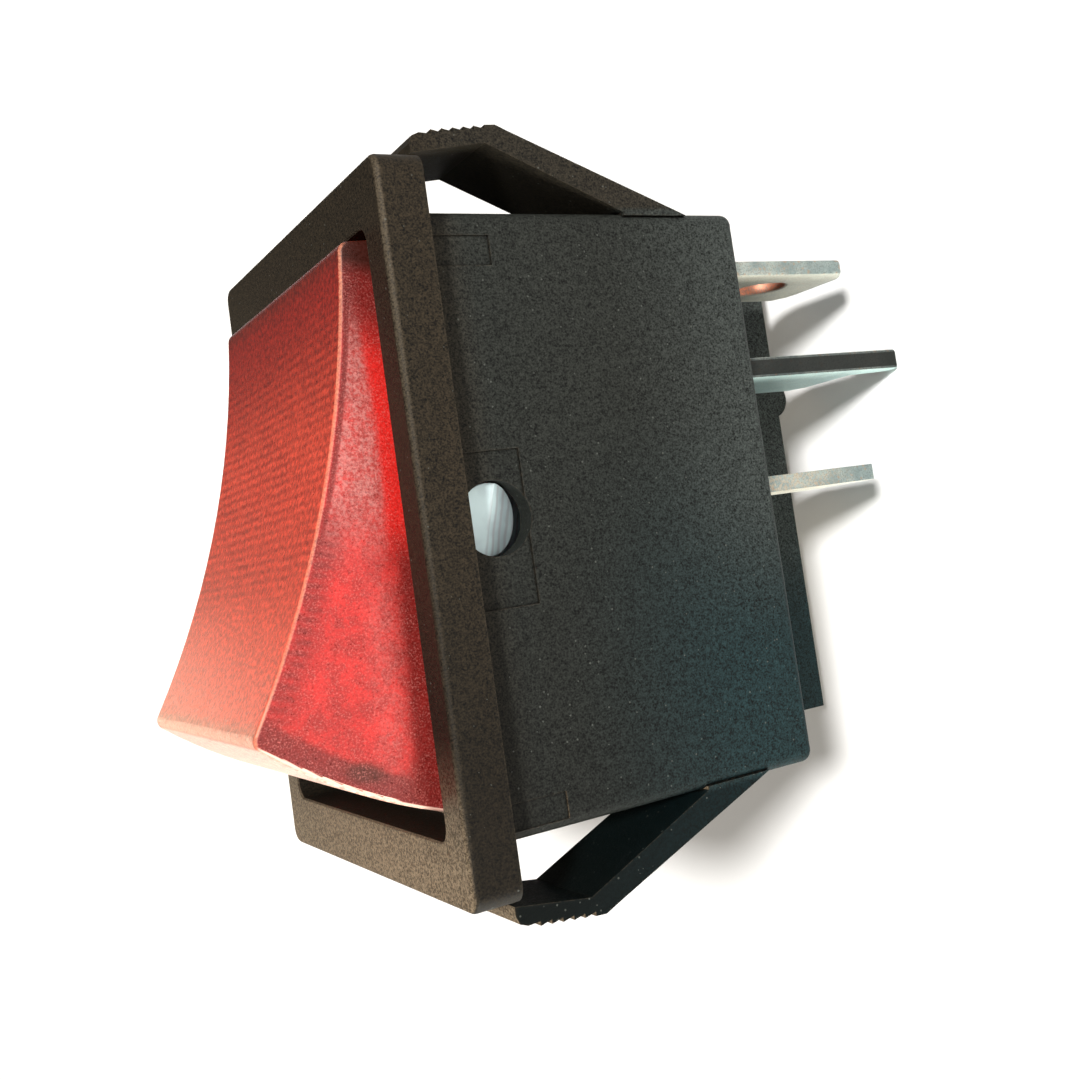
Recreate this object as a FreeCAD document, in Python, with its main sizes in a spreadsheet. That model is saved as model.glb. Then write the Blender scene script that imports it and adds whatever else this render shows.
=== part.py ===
# Panel rocker switch: snap-in housing, red rocker with a pilot lamp, two poles of blade terminals.
# Millimetres. Origin at the centre of the flange's rear face, which sits on the panel.
# +Z points out of the panel, +Y along the flange, +X across it.
import FreeCAD, Part
import math
import os
import Sketcher

Vector = FreeCAD.Vector
doc = FreeCAD.newDocument("PanelRockerSwitch")

# Driving dimensions: name, value, what it is
DIMENSIONS = [
    ("flangeLength", 31.1, "flange, along Y"),
    ("flangeWidth", 24.4, "flange, along X"),
    ("flangeThickness", 2.15, "flange, front to rear"),
    ("flangeCorner", 0.8, "flange corner radius"),
    ("flangeEdge", 0.3, "rounding of the flange's front edge"),
    ("endOverhang", 2.15, "flange beyond the body, each end"),
    ("sideOverhang", 1.3, "flange beyond the body, each side"),
    ("boxDepth", 16.6, "body behind the panel, along Z"),
    ("boxCorner", 0.6, "rounding of the body's long edges"),
    ("boxRearEdge", 0.45, "rounding of the body's rear edges"),
    ("sideWall", 1.1, "long side walls"),
    ("endWall", 0.75, "end walls"),
    ("floorThickness", 1.6, "floor that the terminals pass through"),
    ("openingEndStep", 0.5, "body's end to the opening, along Y"),
    ("openingSideStep", 0.7, "body's side to the opening, along X"),
    ("openingDepth", 2.6, "step of the opening below the flange's front"),
    ("openingCorner", 0.8, "corner radius of the opening"),
    ("openingChamfer", 0.08, "broken edge of the opening"),
    ("innerWall", 1.2, "wall between the two poles"),
    ("innerWallHeight", 7.0, "wall between the two poles, above the floor"),
    ("barrierThickness", 1.5, "rear barrier between the terminal columns"),
    ("barrierEndStep", 0.55, "rear barrier short of the body, each end"),
    ("barrierHeight", 9.1, "rear barrier, behind the body"),
    ("barrierPipRadius", 1.1, "round pip on the barrier's rear edge"),
    ("barrierPipHeight", 0.7, "how far the pip stands out of the edge"),
    ("barrierPipPlace", 5.25, "pip from the middle, along Y"),
    ("wingWidth", 5.2, "spring wing, along X"),
    ("wingThickness", 1.0, "spring wing arm"),
    ("wingRootDepth", 13.5, "outer root of the wing, behind the flange"),
    ("wingRootLength", 3.15, "root of the wing where it joins the body, along Z"),
    ("wingBendDepth", 4.3, "bend of the wing, behind the flange"),
    ("wingSpread", 3.9, "bend of the wing beyond the body's end"),
    ("wingTipDepth", 0.1, "tip of the wing, behind the flange"),
    ("wingTipInset", 0.5, "tip of the wing inside its bend"),
    ("wingTipRound", 0.5, "rounding of the wing's tip"),
    ("wingToothDepth", 0.16, "gripping teeth"),
    ("wingToothPitch", 0.52, "gripping teeth"),
    ("wingTeeth", 6.0, "gripping teeth"),
    ("markDepth", 0.08, "shallow recesses in the long sides"),
    ("markLength", 3.2, "recesses from the flange to their rear edge"),
    ("markGap", 0.001, "recesses start this far behind the flange"),
    ("upperMarkInset", 1.1, "upper recess, from the body's end"),
    ("upperMarkWidth", 1.35, "upper recess, along Y"),
    ("middleMarkStart", 3.85, "middle recess, below the rocker's axis"),
    ("middleMarkWidth", 6.75, "middle recess, along Y"),
    ("lowerMarkInset", 0.4, "lower recess, from the body's end"),
    ("lowerMarkWidth", 1.15, "lower recess, along Y"),
    ("pivotDepth", 1.75, "rocker axis behind the flange's rear face"),
    ("trunnionRadius", 1.56, "trunnions of the carrier"),
    ("trunnionClearance", 0.08, "trunnion to its hole, on the radius"),
    ("trunnionEndGap", 0.55, "trunnion end below the housing's side"),
    ("rockTilt", 17.25, "rocker tilt each way from the middle, degrees"),
    ("lensSideGap", 0.35, "lens to the side walls"),
    ("lensMidHeight", 7.15, "dished front above the axis, at the middle"),
    ("lensLipHeight", 8.3, "front lips above the axis"),
    ("lensLipSetback", 1.81, "front lips inside the lens ends"),
    ("lensEndGap", 0.39, "lens ends to the end walls, at the axis level"),
    ("lensEndRadius", 23.5, "curve of the lens ends"),
    ("lensSkirtSetback", 0.16, "bottom of the lens ends inside their widest"),
    ("lensSkirtDepth", 2.0, "bottom of the lens below the axis"),
    ("lensFront", 1.4, "lens thickness, front"),
    ("lensSide", 1.1, "lens thickness, sides"),
    ("lensEnd", 1.0, "lens thickness, ends"),
    ("lensLipRound", 0.5, "rounding of the lips"),
    ("lensEdgeRound", 0.2, "rounding of the long front edges"),
    ("lensCornerRound", 0.45, "rounding of the upright corners"),
    ("ridgePitch", 0.45, "ridges inside the lens front"),
    ("ridgeDepth", 0.32, "ridges inside the lens front"),
    ("ridgeCount", 41.0, "ridges inside the lens front"),
    ("notchRadius", 1.9, "notch of the lens round each trunnion"),
    ("notchRise", 0.4, "notch's round top starts above the axis"),
    ("carrierGap", 0.2, "carrier to lens, each side"),
    ("carrierTop", 3.2, "carrier rim above the axis"),
    ("carrierDraft", 0.6, "carrier ends lean in towards the rim"),
    ("carrierEndGap", 0.36, "carrier to the lens ends"),
    ("carrierWall", 1.1, "carrier walls"),
    ("carrierFloor", 1.4, "carrier floor"),
    ("carrierBelow", 0.2, "carrier below the lens"),
    ("cradleThickness", 1.0, "lamp cradles of the carrier, along X"),
    ("cradleHalf", 2.3, "half width of the lamp cradles"),
    ("cradleDrop", 0.9, "lamp cradles end below the lamp's middle"),
    ("tubeHead", 0.8, "plunger tubes begin above the bore's end"),
    ("leadInLength", 1.2, "slant of the trunnions, along X"),
    ("leadInRise", 0.1, "slant of the trunnions starts above their axis"),
    ("poleInset", 3.65, "middle of each pole from the side wall"),
    ("tubeRadius", 1.9, "plunger tubes of the carrier"),
    ("tubeEnd", 6.5, "tube mouth below the axis"),
    ("tubeRoof", 0.2, "end of the plunger bore below the axis"),
    ("plungerRadius", 1.25, "plunger"),
    ("plungerClearance", 0.05, "plunger to its bore, on the radius"),
    ("plungerShoulder", 4.0, "top of the plunger below the axis"),
    ("plungerPeg", 0.8, "peg of the plunger inside its spring"),
    ("springWire", 0.3, "plunger spring wire"),
    ("springRadius", 0.8, "plunger spring, middle of the wire"),
    ("springTurns", 4.0, "plunger spring"),
    ("springSeat", 0.01, "springs clear of what they press on"),
    ("fulcrumRise", 2.15, "axis of the contact bars above the floor"),
    ("contactTilt", 6.0, "contact bar tilt each way from level, degrees"),
    ("noseGap", 0.05, "plunger nose to the contact bar"),
    ("saddleHeight", 1.1, "top of the saddle above the bar's axis"),
    ("saddleHalf", 3.1, "half length of the saddle"),
    ("shoulderHalf", 4.2, "outer end of the bar's shoulders"),
    ("shoulderRound", 0.8, "rounding of the bar's shoulders"),
    ("shoulderRise", 0.25, "bar's shoulders above the saddle's ends"),
    ("bendStep", 0.1, "inner side of the bar's bends, along Y"),
    ("barThickness", 0.6, "contact bar sheet"),
    ("barWidth", 4.6, "contact bar, along X"),
    ("barArmInset", 1.3, "start of the bar's flat ends inside the contacts"),
    ("barEndReach", 1.3, "bar beyond the contacts' middle"),
    ("stopHalf", 0.5, "half width of the ribs that stop the bars, along Y"),
    ("contactInset", 2.6, "moving contacts inside the load blades"),
    ("contactRadius", 1.3, "contact buttons"),
    ("contactThickness", 0.5, "contact buttons"),
    ("contactDome", 6.0, "dome of the moving button"),
    ("contactShank", 0.6, "rivet shanks of the buttons"),
    ("contactHead", 0.35, "closing head of the moving button, beyond its shank"),
    ("contactHeadHeight", 0.25, "closing head of the moving button"),
    ("contactBevel", 0.12, "broken edge of the fixed button"),
    ("contactGap", 0.05, "closed contacts, left between the buttons"),
    ("fixedInset", 2.1, "fixed contacts inside the load blades"),
    ("bladeWidth", 6.3, "terminal blades"),
    ("bladeThickness", 0.8, "load and common blades"),
    ("bladeTip", 25.3, "tip of the load and common blades behind the flange"),
    ("bladeCorner", 1.1, "cut corners of the blade tips, across"),
    ("bladeCornerLength", 0.8, "cut corners of the blade tips, along"),
    ("bladeEdge", 0.16, "coined edges of the blades"),
    ("eyeRadius", 1.4, "eye in the load blades"),
    ("eyeDepth", 21.3, "eye behind the flange"),
    ("slotClearance", 0.05, "blade to its slot, each side"),
    ("fulcrumRadius", 0.4, "round top of the common terminal"),
    ("hornHeight", 1.5, "horns beside the bar, above its axis"),
    ("loadInset", 1.65, "load blades from the end wall"),
    ("loadPadLength", 4.1, "load terminal's pad, inward from its blade's middle"),
    ("lampInset", 5.1, "lamp blades inside the load blades"),
    ("lampThickness", 1.05, "lamp blades"),
    ("lampTip", 27.6, "outer finger of the lamp blades behind the flange"),
    ("lampShoulder", 25.6, "inner part of the lamp blades behind the flange"),
    ("lampFinger", 1.1, "outer finger of the lamp blades, along X"),
    ("lampFingerSlope", 0.5, "slope beside the finger, along X"),
    ("lampCorner", 0.2, "cut corner of the finger"),
    ("lampFoot", 0.7, "lamp terminal's foot above the floor"),
    ("lampFootMargin", 1.0, "lamp terminal's foot beyond the spring's middle"),
    ("lampFootLap", 0.4, "lamp terminal's foot under its blade"),
    ("lampSpringInset", 3.85, "lamp springs inside the middle of each pole"),
    ("lampSpringRadius", 0.75, "lamp springs, middle of the wire"),
    ("lampSpringWire", 0.3, "lamp spring wire"),
    ("lampSpringTurns", 7.0, "lamp springs"),
    ("rivetRadius", 0.45, "lamp rivet shank"),
    ("rivetHead", 0.9, "lamp rivet head radius"),
    ("rivetHeadThickness", 0.35, "lamp rivet head"),
    ("rivetBevel", 0.12, "broken edge of the lamp rivet's head"),
    ("rivetFlare", 0.25, "flared end of the lamp rivet, beyond its shank"),
    ("rivetFlareHeight", 0.2, "flared end of the lamp rivet"),
    ("lampHeight", 3.0, "middle of the lamp above the axis"),
    ("lampRadius", 1.9, "lamp glass"),
    ("lampWall", 0.35, "lamp glass"),
    ("lampLength", 9.0, "lamp glass"),
    ("leadRadius", 0.22, "lamp and resistor leads"),
    ("leadSpread", 0.6, "lamp leads from the lamp's middle"),
    ("leadSeal", 0.02, "lamp leads to the glass"),
    ("resistorRadius", 0.95, "resistor body"),
    ("resistorLength", 5.0, "resistor body"),
    ("resistorCap", 1.1, "thick ends of the resistor, along X"),
    ("resistorRound", 0.3, "bevels of the resistor's ends"),
    ("resistorLeadEnd", 0.7, "resistor lead's bend beyond its body"),
    ("resistorInset", 2.36, "resistor inside the rivets, along the rocker"),
    ("leadReach", 5.1, "outer bends of the lamp leads, along X"),
    ("leadReturnInset", 0.96, "stretch of the resistor lead beside the rivets"),
    ("seatGap", 0.05, "loose fits inside the rocker"),
]

sheet = doc.addObject("Spreadsheet::Sheet", "Dims")
for line_number, (name, number, meaning) in enumerate(DIMENSIONS, 1):
    sheet.set(f"A{line_number}", meaning)
    sheet.set(f"B{line_number}", str(number))
    sheet.setAlias(f"B{line_number}", name)
doc.recompute()


def size(expression):
    """Value of an expression over the driving dimensions, in millimetres or degrees."""
    return float(sheet.evalExpression(expression))


def bind(thing, prop, expression):
    thing.setExpression(prop, expression)


def make_body(name):
    body = doc.addObject("PartDesign::Body", name)
    body.Label = name
    return body


def make_sketch(body, plane, offset="0", name="sketch"):
    """Sketch on one of the body's own planes, moved along that plane's normal."""
    sketch = body.newObject("Sketcher::SketchObject", name)
    support = [f for f in body.Origin.OriginFeatures if f.Role == plane + "_Plane"][0]
    sketch.AttachmentSupport = [(support, "")]
    sketch.MapMode = "FlatFace"
    sketch.AttachmentOffset = FreeCAD.Placement(Vector(0, 0, size(offset)), FreeCAD.Rotation())
    bind(sketch, "AttachmentOffset.Base.z", offset)
    return sketch


def pin_point(sketch, geometry, end, x, y):
    """Ties one end of a sketch line to a place given by two expressions."""
    for kind, where in (("DistanceX", x), ("DistanceY", y)):
        index = sketch.addConstraint(Sketcher.Constraint(kind, -1, 1, geometry, end, size(where)))
        bind(sketch, f"Constraints[{index}]", where)


def add_polygon(sketch, corners):
    """Closed outline of straight lines through corners given as pairs of expressions."""
    places = [Vector(size(x), size(y), 0) for x, y in corners]
    count = len(corners)
    lines = []
    for i in range(count):
        lines.append(sketch.addGeometry(Part.LineSegment(places[i], places[(i + 1) % count]), False))
    for i in range(count):
        sketch.addConstraint(Sketcher.Constraint("Coincident", lines[i], 2, lines[(i + 1) % count], 1))
        pin_point(sketch, lines[i], 1, *corners[i])
    return lines


def add_rectangle(sketch, x0, x1, y0, y1):
    return add_polygon(sketch, [(x0, y0), (x1, y0), (x1, y1), (x0, y1)])


def add_circle(sketch, x, y, radius):
    circle = Part.Circle(Vector(size(x), size(y), 0), Vector(0, 0, 1), size(radius))
    index = sketch.addGeometry(circle, False)
    pin_point(sketch, index, 3, x, y)
    constraint = sketch.addConstraint(Sketcher.Constraint("Radius", index, size(radius)))
    bind(sketch, f"Constraints[{constraint}]", radius)
    return index


def add_outline(sketch, pieces):
    """Closed outline of lines and arcs.

    Each piece is (x, y) for a straight line that starts there, or (x, y, radius, bulge) for an arc
    that starts there; bulge is +1 where the arc lies left of its chord and -1 where it lies right.
    """
    count = len(pieces)
    places = [Vector(size(p[0]), size(p[1]), 0) for p in pieces]
    drawn = []
    for i, piece in enumerate(pieces):
        start = places[i]
        finish = places[(i + 1) % count]
        if len(piece) == 2:
            drawn.append((sketch.addGeometry(Part.LineSegment(start, finish), False), 1, 2))
            continue
        radius = size(piece[2])
        chord = finish.sub(start)
        left = Vector(-chord.y, chord.x, 0).normalize()
        height = radius - math.sqrt(radius ** 2 - (chord.Length / 2) ** 2)
        crown = start.add(chord.multiply(0.5)).add(left.multiply(height * piece[3]))
        arc = Part.Arc(start, crown, finish)
        index = sketch.addGeometry(arc, False)
        # arcs are stored anticlockwise, so one that lies left of its chord runs backwards
        ends = (2, 1) if piece[3] > 0 else (1, 2)
        drawn.append((index, *ends))
        constraint = sketch.addConstraint(Sketcher.Constraint("Radius", index, radius))
        bind(sketch, f"Constraints[{constraint}]", piece[2])
    for i in range(count):
        index, first, last = drawn[i]
        following, following_first, _ = drawn[(i + 1) % count]
        sketch.addConstraint(Sketcher.Constraint("Coincident", index, last, following, following_first))
        pin_point(sketch, index, first, pieces[i][0], pieces[i][1])
    return [index for index, _, _ in drawn]


def add_pad(body, sketch, length, backwards=False, name="pad"):
    pad = body.newObject("PartDesign::Pad", name)
    pad.Profile = sketch
    pad.Length = size(length)
    bind(pad, "Length", length)
    pad.Reversed = backwards
    doc.recompute()
    return pad


def add_pocket(body, sketch, length, backwards=False, name="pocket"):
    before = body.Shape.Volume
    pocket = body.newObject("PartDesign::Pocket", name)
    pocket.Profile = sketch
    pocket.Length = size(length)
    bind(pocket, "Length", length)
    pocket.Reversed = backwards
    doc.recompute()
    if body.Shape.Volume > before - 1e-6:
        raise RuntimeError(f"{body.Label}: {name} cuts nothing")
    return pocket


def edges_where(shape, test):
    """Names of the edges whose two ends and middle all satisfy a test."""
    names = []
    for number, edge in enumerate(shape.Edges, 1):
        middle = edge.valueAt((edge.FirstParameter + edge.LastParameter) / 2)
        points = [vertex.Point for vertex in edge.Vertexes] + [middle]
        if all(test(point) for point in points):
            names.append(f"Edge{number}")
    return names


def round_edges(body, test, radius, name="rounding"):
    edges = edges_where(body.Shape, test)
    if not edges:
        raise RuntimeError(f"{body.Label}: {name} finds no edge")
    tip = body.Tip
    fillet = body.newObject("PartDesign::Fillet", name)
    fillet.Base = (tip, edges)
    fillet.Radius = size(radius)
    bind(fillet, "Radius", radius)
    doc.recompute()
    return fillet


def bevel_edges(body, test, width, name="bevel"):
    edges = edges_where(body.Shape, test)
    if not edges:
        raise RuntimeError(f"{body.Label}: {name} finds no edge")
    tip = body.Tip
    chamfer = body.newObject("PartDesign::Chamfer", name)
    chamfer.Base = (tip, edges)
    chamfer.Size = size(width)
    bind(chamfer, "Size", width)
    doc.recompute()
    return chamfer


def near(a, b, slack=1e-3):
    return abs(a - b) < slack


def place(thing, height, tilt="0", across="0"):
    """Puts a piece that was drawn about its own axis at that axis, turned about X."""
    thing.Placement = FreeCAD.Placement(
        Vector(size(across), 0, size(height)), FreeCAD.Rotation(Vector(1, 0, 0), size(tilt))
    )
    for prop, expression in (("Base.x", across), ("Base.z", height), ("Rotation.Angle", tilt)):
        if expression != "0":
            bind(thing, "Placement." + prop, expression)


# Sizes that follow from the driving ones, from the flange inwards
BOX_LENGTH = "(Dims.flangeLength - 2 * Dims.endOverhang)"
BOX_WIDTH = "(Dims.flangeWidth - 2 * Dims.sideOverhang)"
OPENING_LENGTH = f"({BOX_LENGTH} - 2 * Dims.openingEndStep)"
OPENING_WIDTH = f"({BOX_WIDTH} - 2 * Dims.openingSideStep)"
BARRIER_LENGTH = f"({BOX_LENGTH} - 2 * Dims.barrierEndStep)"
WING_BEND = f"({BOX_LENGTH} / 2 + Dims.wingSpread)"
WING_TIP = f"({WING_BEND} - Dims.wingTipInset)"
LENS_WIDTH = f"({BOX_WIDTH} - 2 * Dims.sideWall - 2 * Dims.lensSideGap)"
LENS_HIP = f"({BOX_LENGTH} / 2 - Dims.endWall - Dims.lensEndGap)"
LENS_LIP = f"({LENS_HIP} - Dims.lensLipSetback)"
LENS_SKIRT = f"({LENS_HIP} - Dims.lensSkirtSetback)"
CARRIER_FOOT = f"({LENS_HIP} - Dims.lensEnd - Dims.carrierEndGap)"
CARRIER_RIM = f"({CARRIER_FOOT} - Dims.carrierDraft)"
POLE = f"({BOX_WIDTH} / 2 - Dims.sideWall - Dims.poleInset)"
LOAD_PLACE = f"({BOX_LENGTH} / 2 - Dims.endWall - Dims.loadInset)"
LOAD_PAD_END = f"({LOAD_PLACE} - Dims.loadPadLength)"
CONTACT_REACH = f"({LOAD_PLACE} - Dims.contactInset)"
FIXED_REACH = f"({LOAD_PLACE} - Dims.fixedInset)"
BAR_ARM = f"({CONTACT_REACH} - Dims.barArmInset)"
BAR_END = f"({CONTACT_REACH} + Dims.barEndReach)"
LAMP_PLACE = f"({LOAD_PLACE} - Dims.lampInset)"
LAMP_SPRING_PLACE = f"({POLE} - Dims.lampSpringInset)"

# Places that several pieces share
PIVOT = "-Dims.pivotDepth"
FLOOR = "(Dims.floorThickness - Dims.boxDepth)"
HOLE = "(Dims.trunnionRadius + Dims.trunnionClearance)"
BORE = "(Dims.plungerRadius + Dims.plungerClearance)"
FULCRUM = f"({FLOOR} + Dims.fulcrumRise)"
# middle of the plunger's round nose below the rocker's axis: what is left above the saddle
NOSE_STACK = "(Dims.plungerRadius + Dims.noseGap + Dims.saddleHeight)"
NOSE = f"(-Dims.pivotDepth - {FULCRUM} - {NOSE_STACK})"
# the saddle is curved so that the nose keeps its gap at both ends of its path as well as level
ACROSS = f"({NOSE} * sin(Dims.rockTilt * 1 deg))"
DROP = f"({NOSE} + {NOSE_STACK} - {NOSE} * cos(Dims.rockTilt * 1 deg))"
SADDLE_CENTRE = (
    f"(({ACROSS} ^ 2 + {DROP} ^ 2 - {NOSE_STACK} ^ 2) / (2 * ({ACROSS} * sin(Dims.contactTilt * 1 deg)"
    f" + {DROP} * cos(Dims.contactTilt * 1 deg) - {NOSE_STACK})))"
)
SADDLE_RADIUS = f"({SADDLE_CENTRE} - Dims.saddleHeight)"
# underside of the moving button above the bar's axis, so that it just meets the fixed one
PAD_TOP = f"({FLOOR} + Dims.bladeThickness)"
FIXED_TOP = f"({PAD_TOP} + Dims.contactThickness)"
BUTTON_UNDER = (
    f"(({FIXED_TOP} + Dims.contactGap - {FULCRUM} + {CONTACT_REACH} * sin(Dims.contactTilt * 1 deg)"
    " + Dims.contactDome * (1 - cos(Dims.contactTilt * 1 deg))) / cos(Dims.contactTilt * 1 deg))"
)
SIDES = (("near", "1"), ("far", "-1"))


def along(side, place_expression):
    """Place along X on one side, as an expression."""
    return f"{side} * ({place_expression})"


def make_housing():
    body = make_body("housing")
    length = "Dims.flangeLength / 2"
    width = "Dims.flangeWidth / 2"
    sketch = make_sketch(body, "XY", name="flange_outline")
    add_rectangle(sketch, "-" + width, width, "-" + length, length)
    add_pad(body, sketch, "Dims.flangeThickness", name="flange")
    top = size("Dims.flangeThickness")
    half_width = size(width)
    half_length = size(length)
    round_edges(
        body,
        lambda p: near(abs(p.x), half_width) and near(abs(p.y), half_length),
        "Dims.flangeCorner",
        "flange_corners",
    )
    round_edges(body, lambda p: near(p.z, top), "Dims.flangeEdge", "flange_front_edge")

    box_length = f"{BOX_LENGTH} / 2"
    box_width = f"{BOX_WIDTH} / 2"
    sketch = make_sketch(body, "XY", name="box_outline")
    add_rectangle(sketch, "-" + box_width, box_width, "-" + box_length, box_length)
    add_pad(body, sketch, "Dims.boxDepth", backwards=True, name="box")
    box_x = size(box_width)
    box_y = size(box_length)
    rear = -size("Dims.boxDepth")
    round_edges(
        body,
        lambda p: near(abs(p.x), box_x) and near(abs(p.y), box_y) and p.z < 0.1,
        "Dims.boxCorner",
        "box_corners",
    )
    round_edges(body, lambda p: near(p.z, rear), "Dims.boxRearEdge", "box_rear_edge")

    add_wings(body)

    cavity_width = f"({box_width} - Dims.sideWall)"
    cavity_length = f"({box_length} - Dims.endWall)"
    sketch = make_sketch(body, "XY", "Dims.flangeThickness", "cavity_outline")
    add_rectangle(sketch, "-" + cavity_width, cavity_width, "-" + cavity_length, cavity_length)
    add_pocket(body, sketch, f"Dims.flangeThickness - {FLOOR}", name="cavity")

    opening_width = f"{OPENING_WIDTH} / 2"
    opening_length = f"{OPENING_LENGTH} / 2"
    sketch = make_sketch(body, "XY", "Dims.flangeThickness", "opening_outline")
    add_rectangle(sketch, "-" + opening_width, opening_width, "-" + opening_length, opening_length)
    add_pocket(body, sketch, "Dims.openingDepth", name="opening")
    open_x = size(opening_width)
    open_y = size(opening_length)
    round_edges(
        body,
        lambda p: near(abs(p.x), open_x) and near(abs(p.y), open_y),
        "Dims.openingCorner",
        "opening_corners",
    )
    bevel_edges(
        body,
        lambda p: near(p.z, top) and abs(p.x) < open_x + 0.01 and abs(p.y) < open_y + 0.01,
        "Dims.openingChamfer",
        "opening_edge",
    )

    sketch = make_sketch(body, "XY", FLOOR, "inner_wall_outline")
    add_rectangle(sketch, "-Dims.innerWall / 2", "Dims.innerWall / 2", "-" + cavity_length, cavity_length)
    add_pad(body, sketch, "Dims.innerWallHeight", name="inner_wall")

    add_bar_stops(body)
    add_barrier(body)
    add_terminal_slots(body)

    sketch = make_sketch(body, "YZ", box_width, "pivot_hole_outline")
    add_circle(sketch, "0", PIVOT, HOLE)
    add_pocket(body, sketch, BOX_WIDTH, name="pivot_holes")
    add_side_marks(body)
    return body


def add_wings(body):
    """Spring wings: an arm that leaves the box low down, bends and ends in a toothed grip."""
    teeth = round(size("Dims.wingTeeth"))
    for x_side, x_start in (("near", f"{BOX_WIDTH} / 2 - Dims.wingWidth"), ("far", f"-{BOX_WIDTH} / 2")):
        for y_side, y_sign in (("upper", "1"), ("lower", "-1")):
            lean = f"({WING_BEND} - {WING_TIP}) / (Dims.wingBendDepth - Dims.wingTipDepth)"

            def at(reach, depth, sign=y_sign):
                return (f"{sign} * ({reach})", f"-({depth})")

            root = f"{BOX_LENGTH} / 2 - 0.2 * Dims.endWall"
            corners = [
                at(root, "Dims.wingRootDepth + 0.35 * Dims.wingThickness"),
                at(f"{BOX_LENGTH} / 2", "Dims.wingRootDepth"),
                at(f"{WING_BEND} - 0.25 * Dims.wingThickness",
                   "Dims.wingBendDepth + 0.55 * Dims.wingThickness"),
                at(WING_BEND, "Dims.wingBendDepth"),
            ]
            for i in range(teeth):
                depth = f"Dims.wingBendDepth - {i + 1} * Dims.wingToothPitch"
                reach = f"{WING_BEND} - {i + 1} * Dims.wingToothPitch * {lean}"
                corners.append(at(f"{reach} + 0.2 * Dims.wingToothDepth", depth))
                corners.append(at(f"{reach} - Dims.wingToothDepth", depth))
            corners += [
                at(WING_TIP, "Dims.wingTipDepth + Dims.wingTipRound"),
                at(f"{WING_TIP} - 0.3 * Dims.wingTipRound", "Dims.wingTipDepth + 0.3 * Dims.wingTipRound"),
                at(f"{WING_TIP} - Dims.wingTipRound", "Dims.wingTipDepth"),
                at(f"{WING_TIP} - 0.9 * Dims.wingThickness", "Dims.wingTipDepth"),
                at(f"{WING_BEND} - 0.85 * Dims.wingThickness",
                   "Dims.wingBendDepth - 0.62 * Dims.wingThickness"),
                at(f"{BOX_LENGTH} / 2", "Dims.wingRootDepth - Dims.wingRootLength"),
                at(root, "Dims.wingRootDepth - Dims.wingRootLength"),
            ]
            sketch = make_sketch(body, "YZ", x_start, f"wing_profile_{x_side}_{y_side}")
            add_polygon(sketch, corners)
            add_pad(body, sketch, "Dims.wingWidth", name=f"wing_{x_side}_{y_side}")


def add_bar_stops(body):
    """Low ribs that the open end of each contact bar comes down on."""
    low = f"({FULCRUM} - ({CONTACT_REACH} + Dims.stopHalf) * sin(Dims.contactTilt * 1 deg)"
    low += " + (Dims.saddleHeight - Dims.barThickness) * cos(Dims.contactTilt * 1 deg))"
    for name, side in SIDES:
        sketch = make_sketch(body, "XY", FLOOR, f"bar_stop_outline_{name}")
        add_rectangle(
            sketch,
            along(side, f"{POLE} - Dims.barWidth / 2"),
            along(side, f"{POLE} + Dims.barWidth / 2"),
            f"-{CONTACT_REACH} - Dims.stopHalf",
            f"-{CONTACT_REACH} + Dims.stopHalf",
        )
        add_pad(body, sketch, f"{low} - {FLOOR} - Dims.contactGap", name=f"bar_stop_{name}")


def add_barrier(body):
    half = "Dims.barrierThickness / 2"
    length = f"{BARRIER_LENGTH} / 2"
    sketch = make_sketch(body, "XY", "-Dims.boxDepth", "barrier_outline")
    add_rectangle(sketch, "-" + half, half, "-" + length, length)
    add_pad(body, sketch, "Dims.barrierHeight", backwards=True, name="barrier")
    sketch = make_sketch(body, "YZ", "-" + half, "barrier_pip_outline")
    add_circle(
        sketch,
        "Dims.barrierPipPlace",
        "-Dims.boxDepth - Dims.barrierHeight - Dims.barrierPipHeight + Dims.barrierPipRadius",
        "Dims.barrierPipRadius",
    )
    add_pad(body, sketch, "Dims.barrierThickness", name="barrier_pip")


def add_terminal_slots(body):
    blades = (
        ("load", LOAD_PLACE, "Dims.bladeThickness"),
        ("lamp", LAMP_PLACE, "Dims.lampThickness"),
        ("common", "0", "Dims.bladeThickness"),
    )
    for name, side in SIDES:
        sketch = make_sketch(body, "XY", FLOOR, f"slot_outlines_{name}")
        for _, y, thickness in blades:
            add_rectangle(
                sketch,
                along(side, f"{POLE} - Dims.bladeWidth / 2 - Dims.slotClearance"),
                along(side, f"{POLE} + Dims.bladeWidth / 2 + Dims.slotClearance"),
                f"{y} - {thickness} / 2 - Dims.slotClearance",
                f"{y} + {thickness} / 2 + Dims.slotClearance",
            )
        add_pocket(body, sketch, "Dims.floorThickness + 0.1", name=f"slots_{name}")


def add_side_marks(body):
    """Shallow recesses in both long sides, just behind the flange."""
    marks = (
        (f"{BOX_LENGTH} / 2 - Dims.upperMarkInset - Dims.upperMarkWidth", "Dims.upperMarkWidth"),
        ("-Dims.middleMarkStart", "Dims.middleMarkWidth"),
        (f"-{BOX_LENGTH} / 2 + Dims.lowerMarkInset", "Dims.lowerMarkWidth"),
    )
    for name, offset, backwards in (("near", f"{BOX_WIDTH} / 2", False), ("far", f"-{BOX_WIDTH} / 2", True)):
        sketch = make_sketch(body, "YZ", offset, f"side_marks_outline_{name}")
        for low, width in marks:
            add_rectangle(sketch, low, f"{low} + {width}", "-Dims.markLength", "-Dims.markGap")
        add_pocket(body, sketch, "Dims.markDepth", backwards, name=f"side_marks_{name}")


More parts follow.
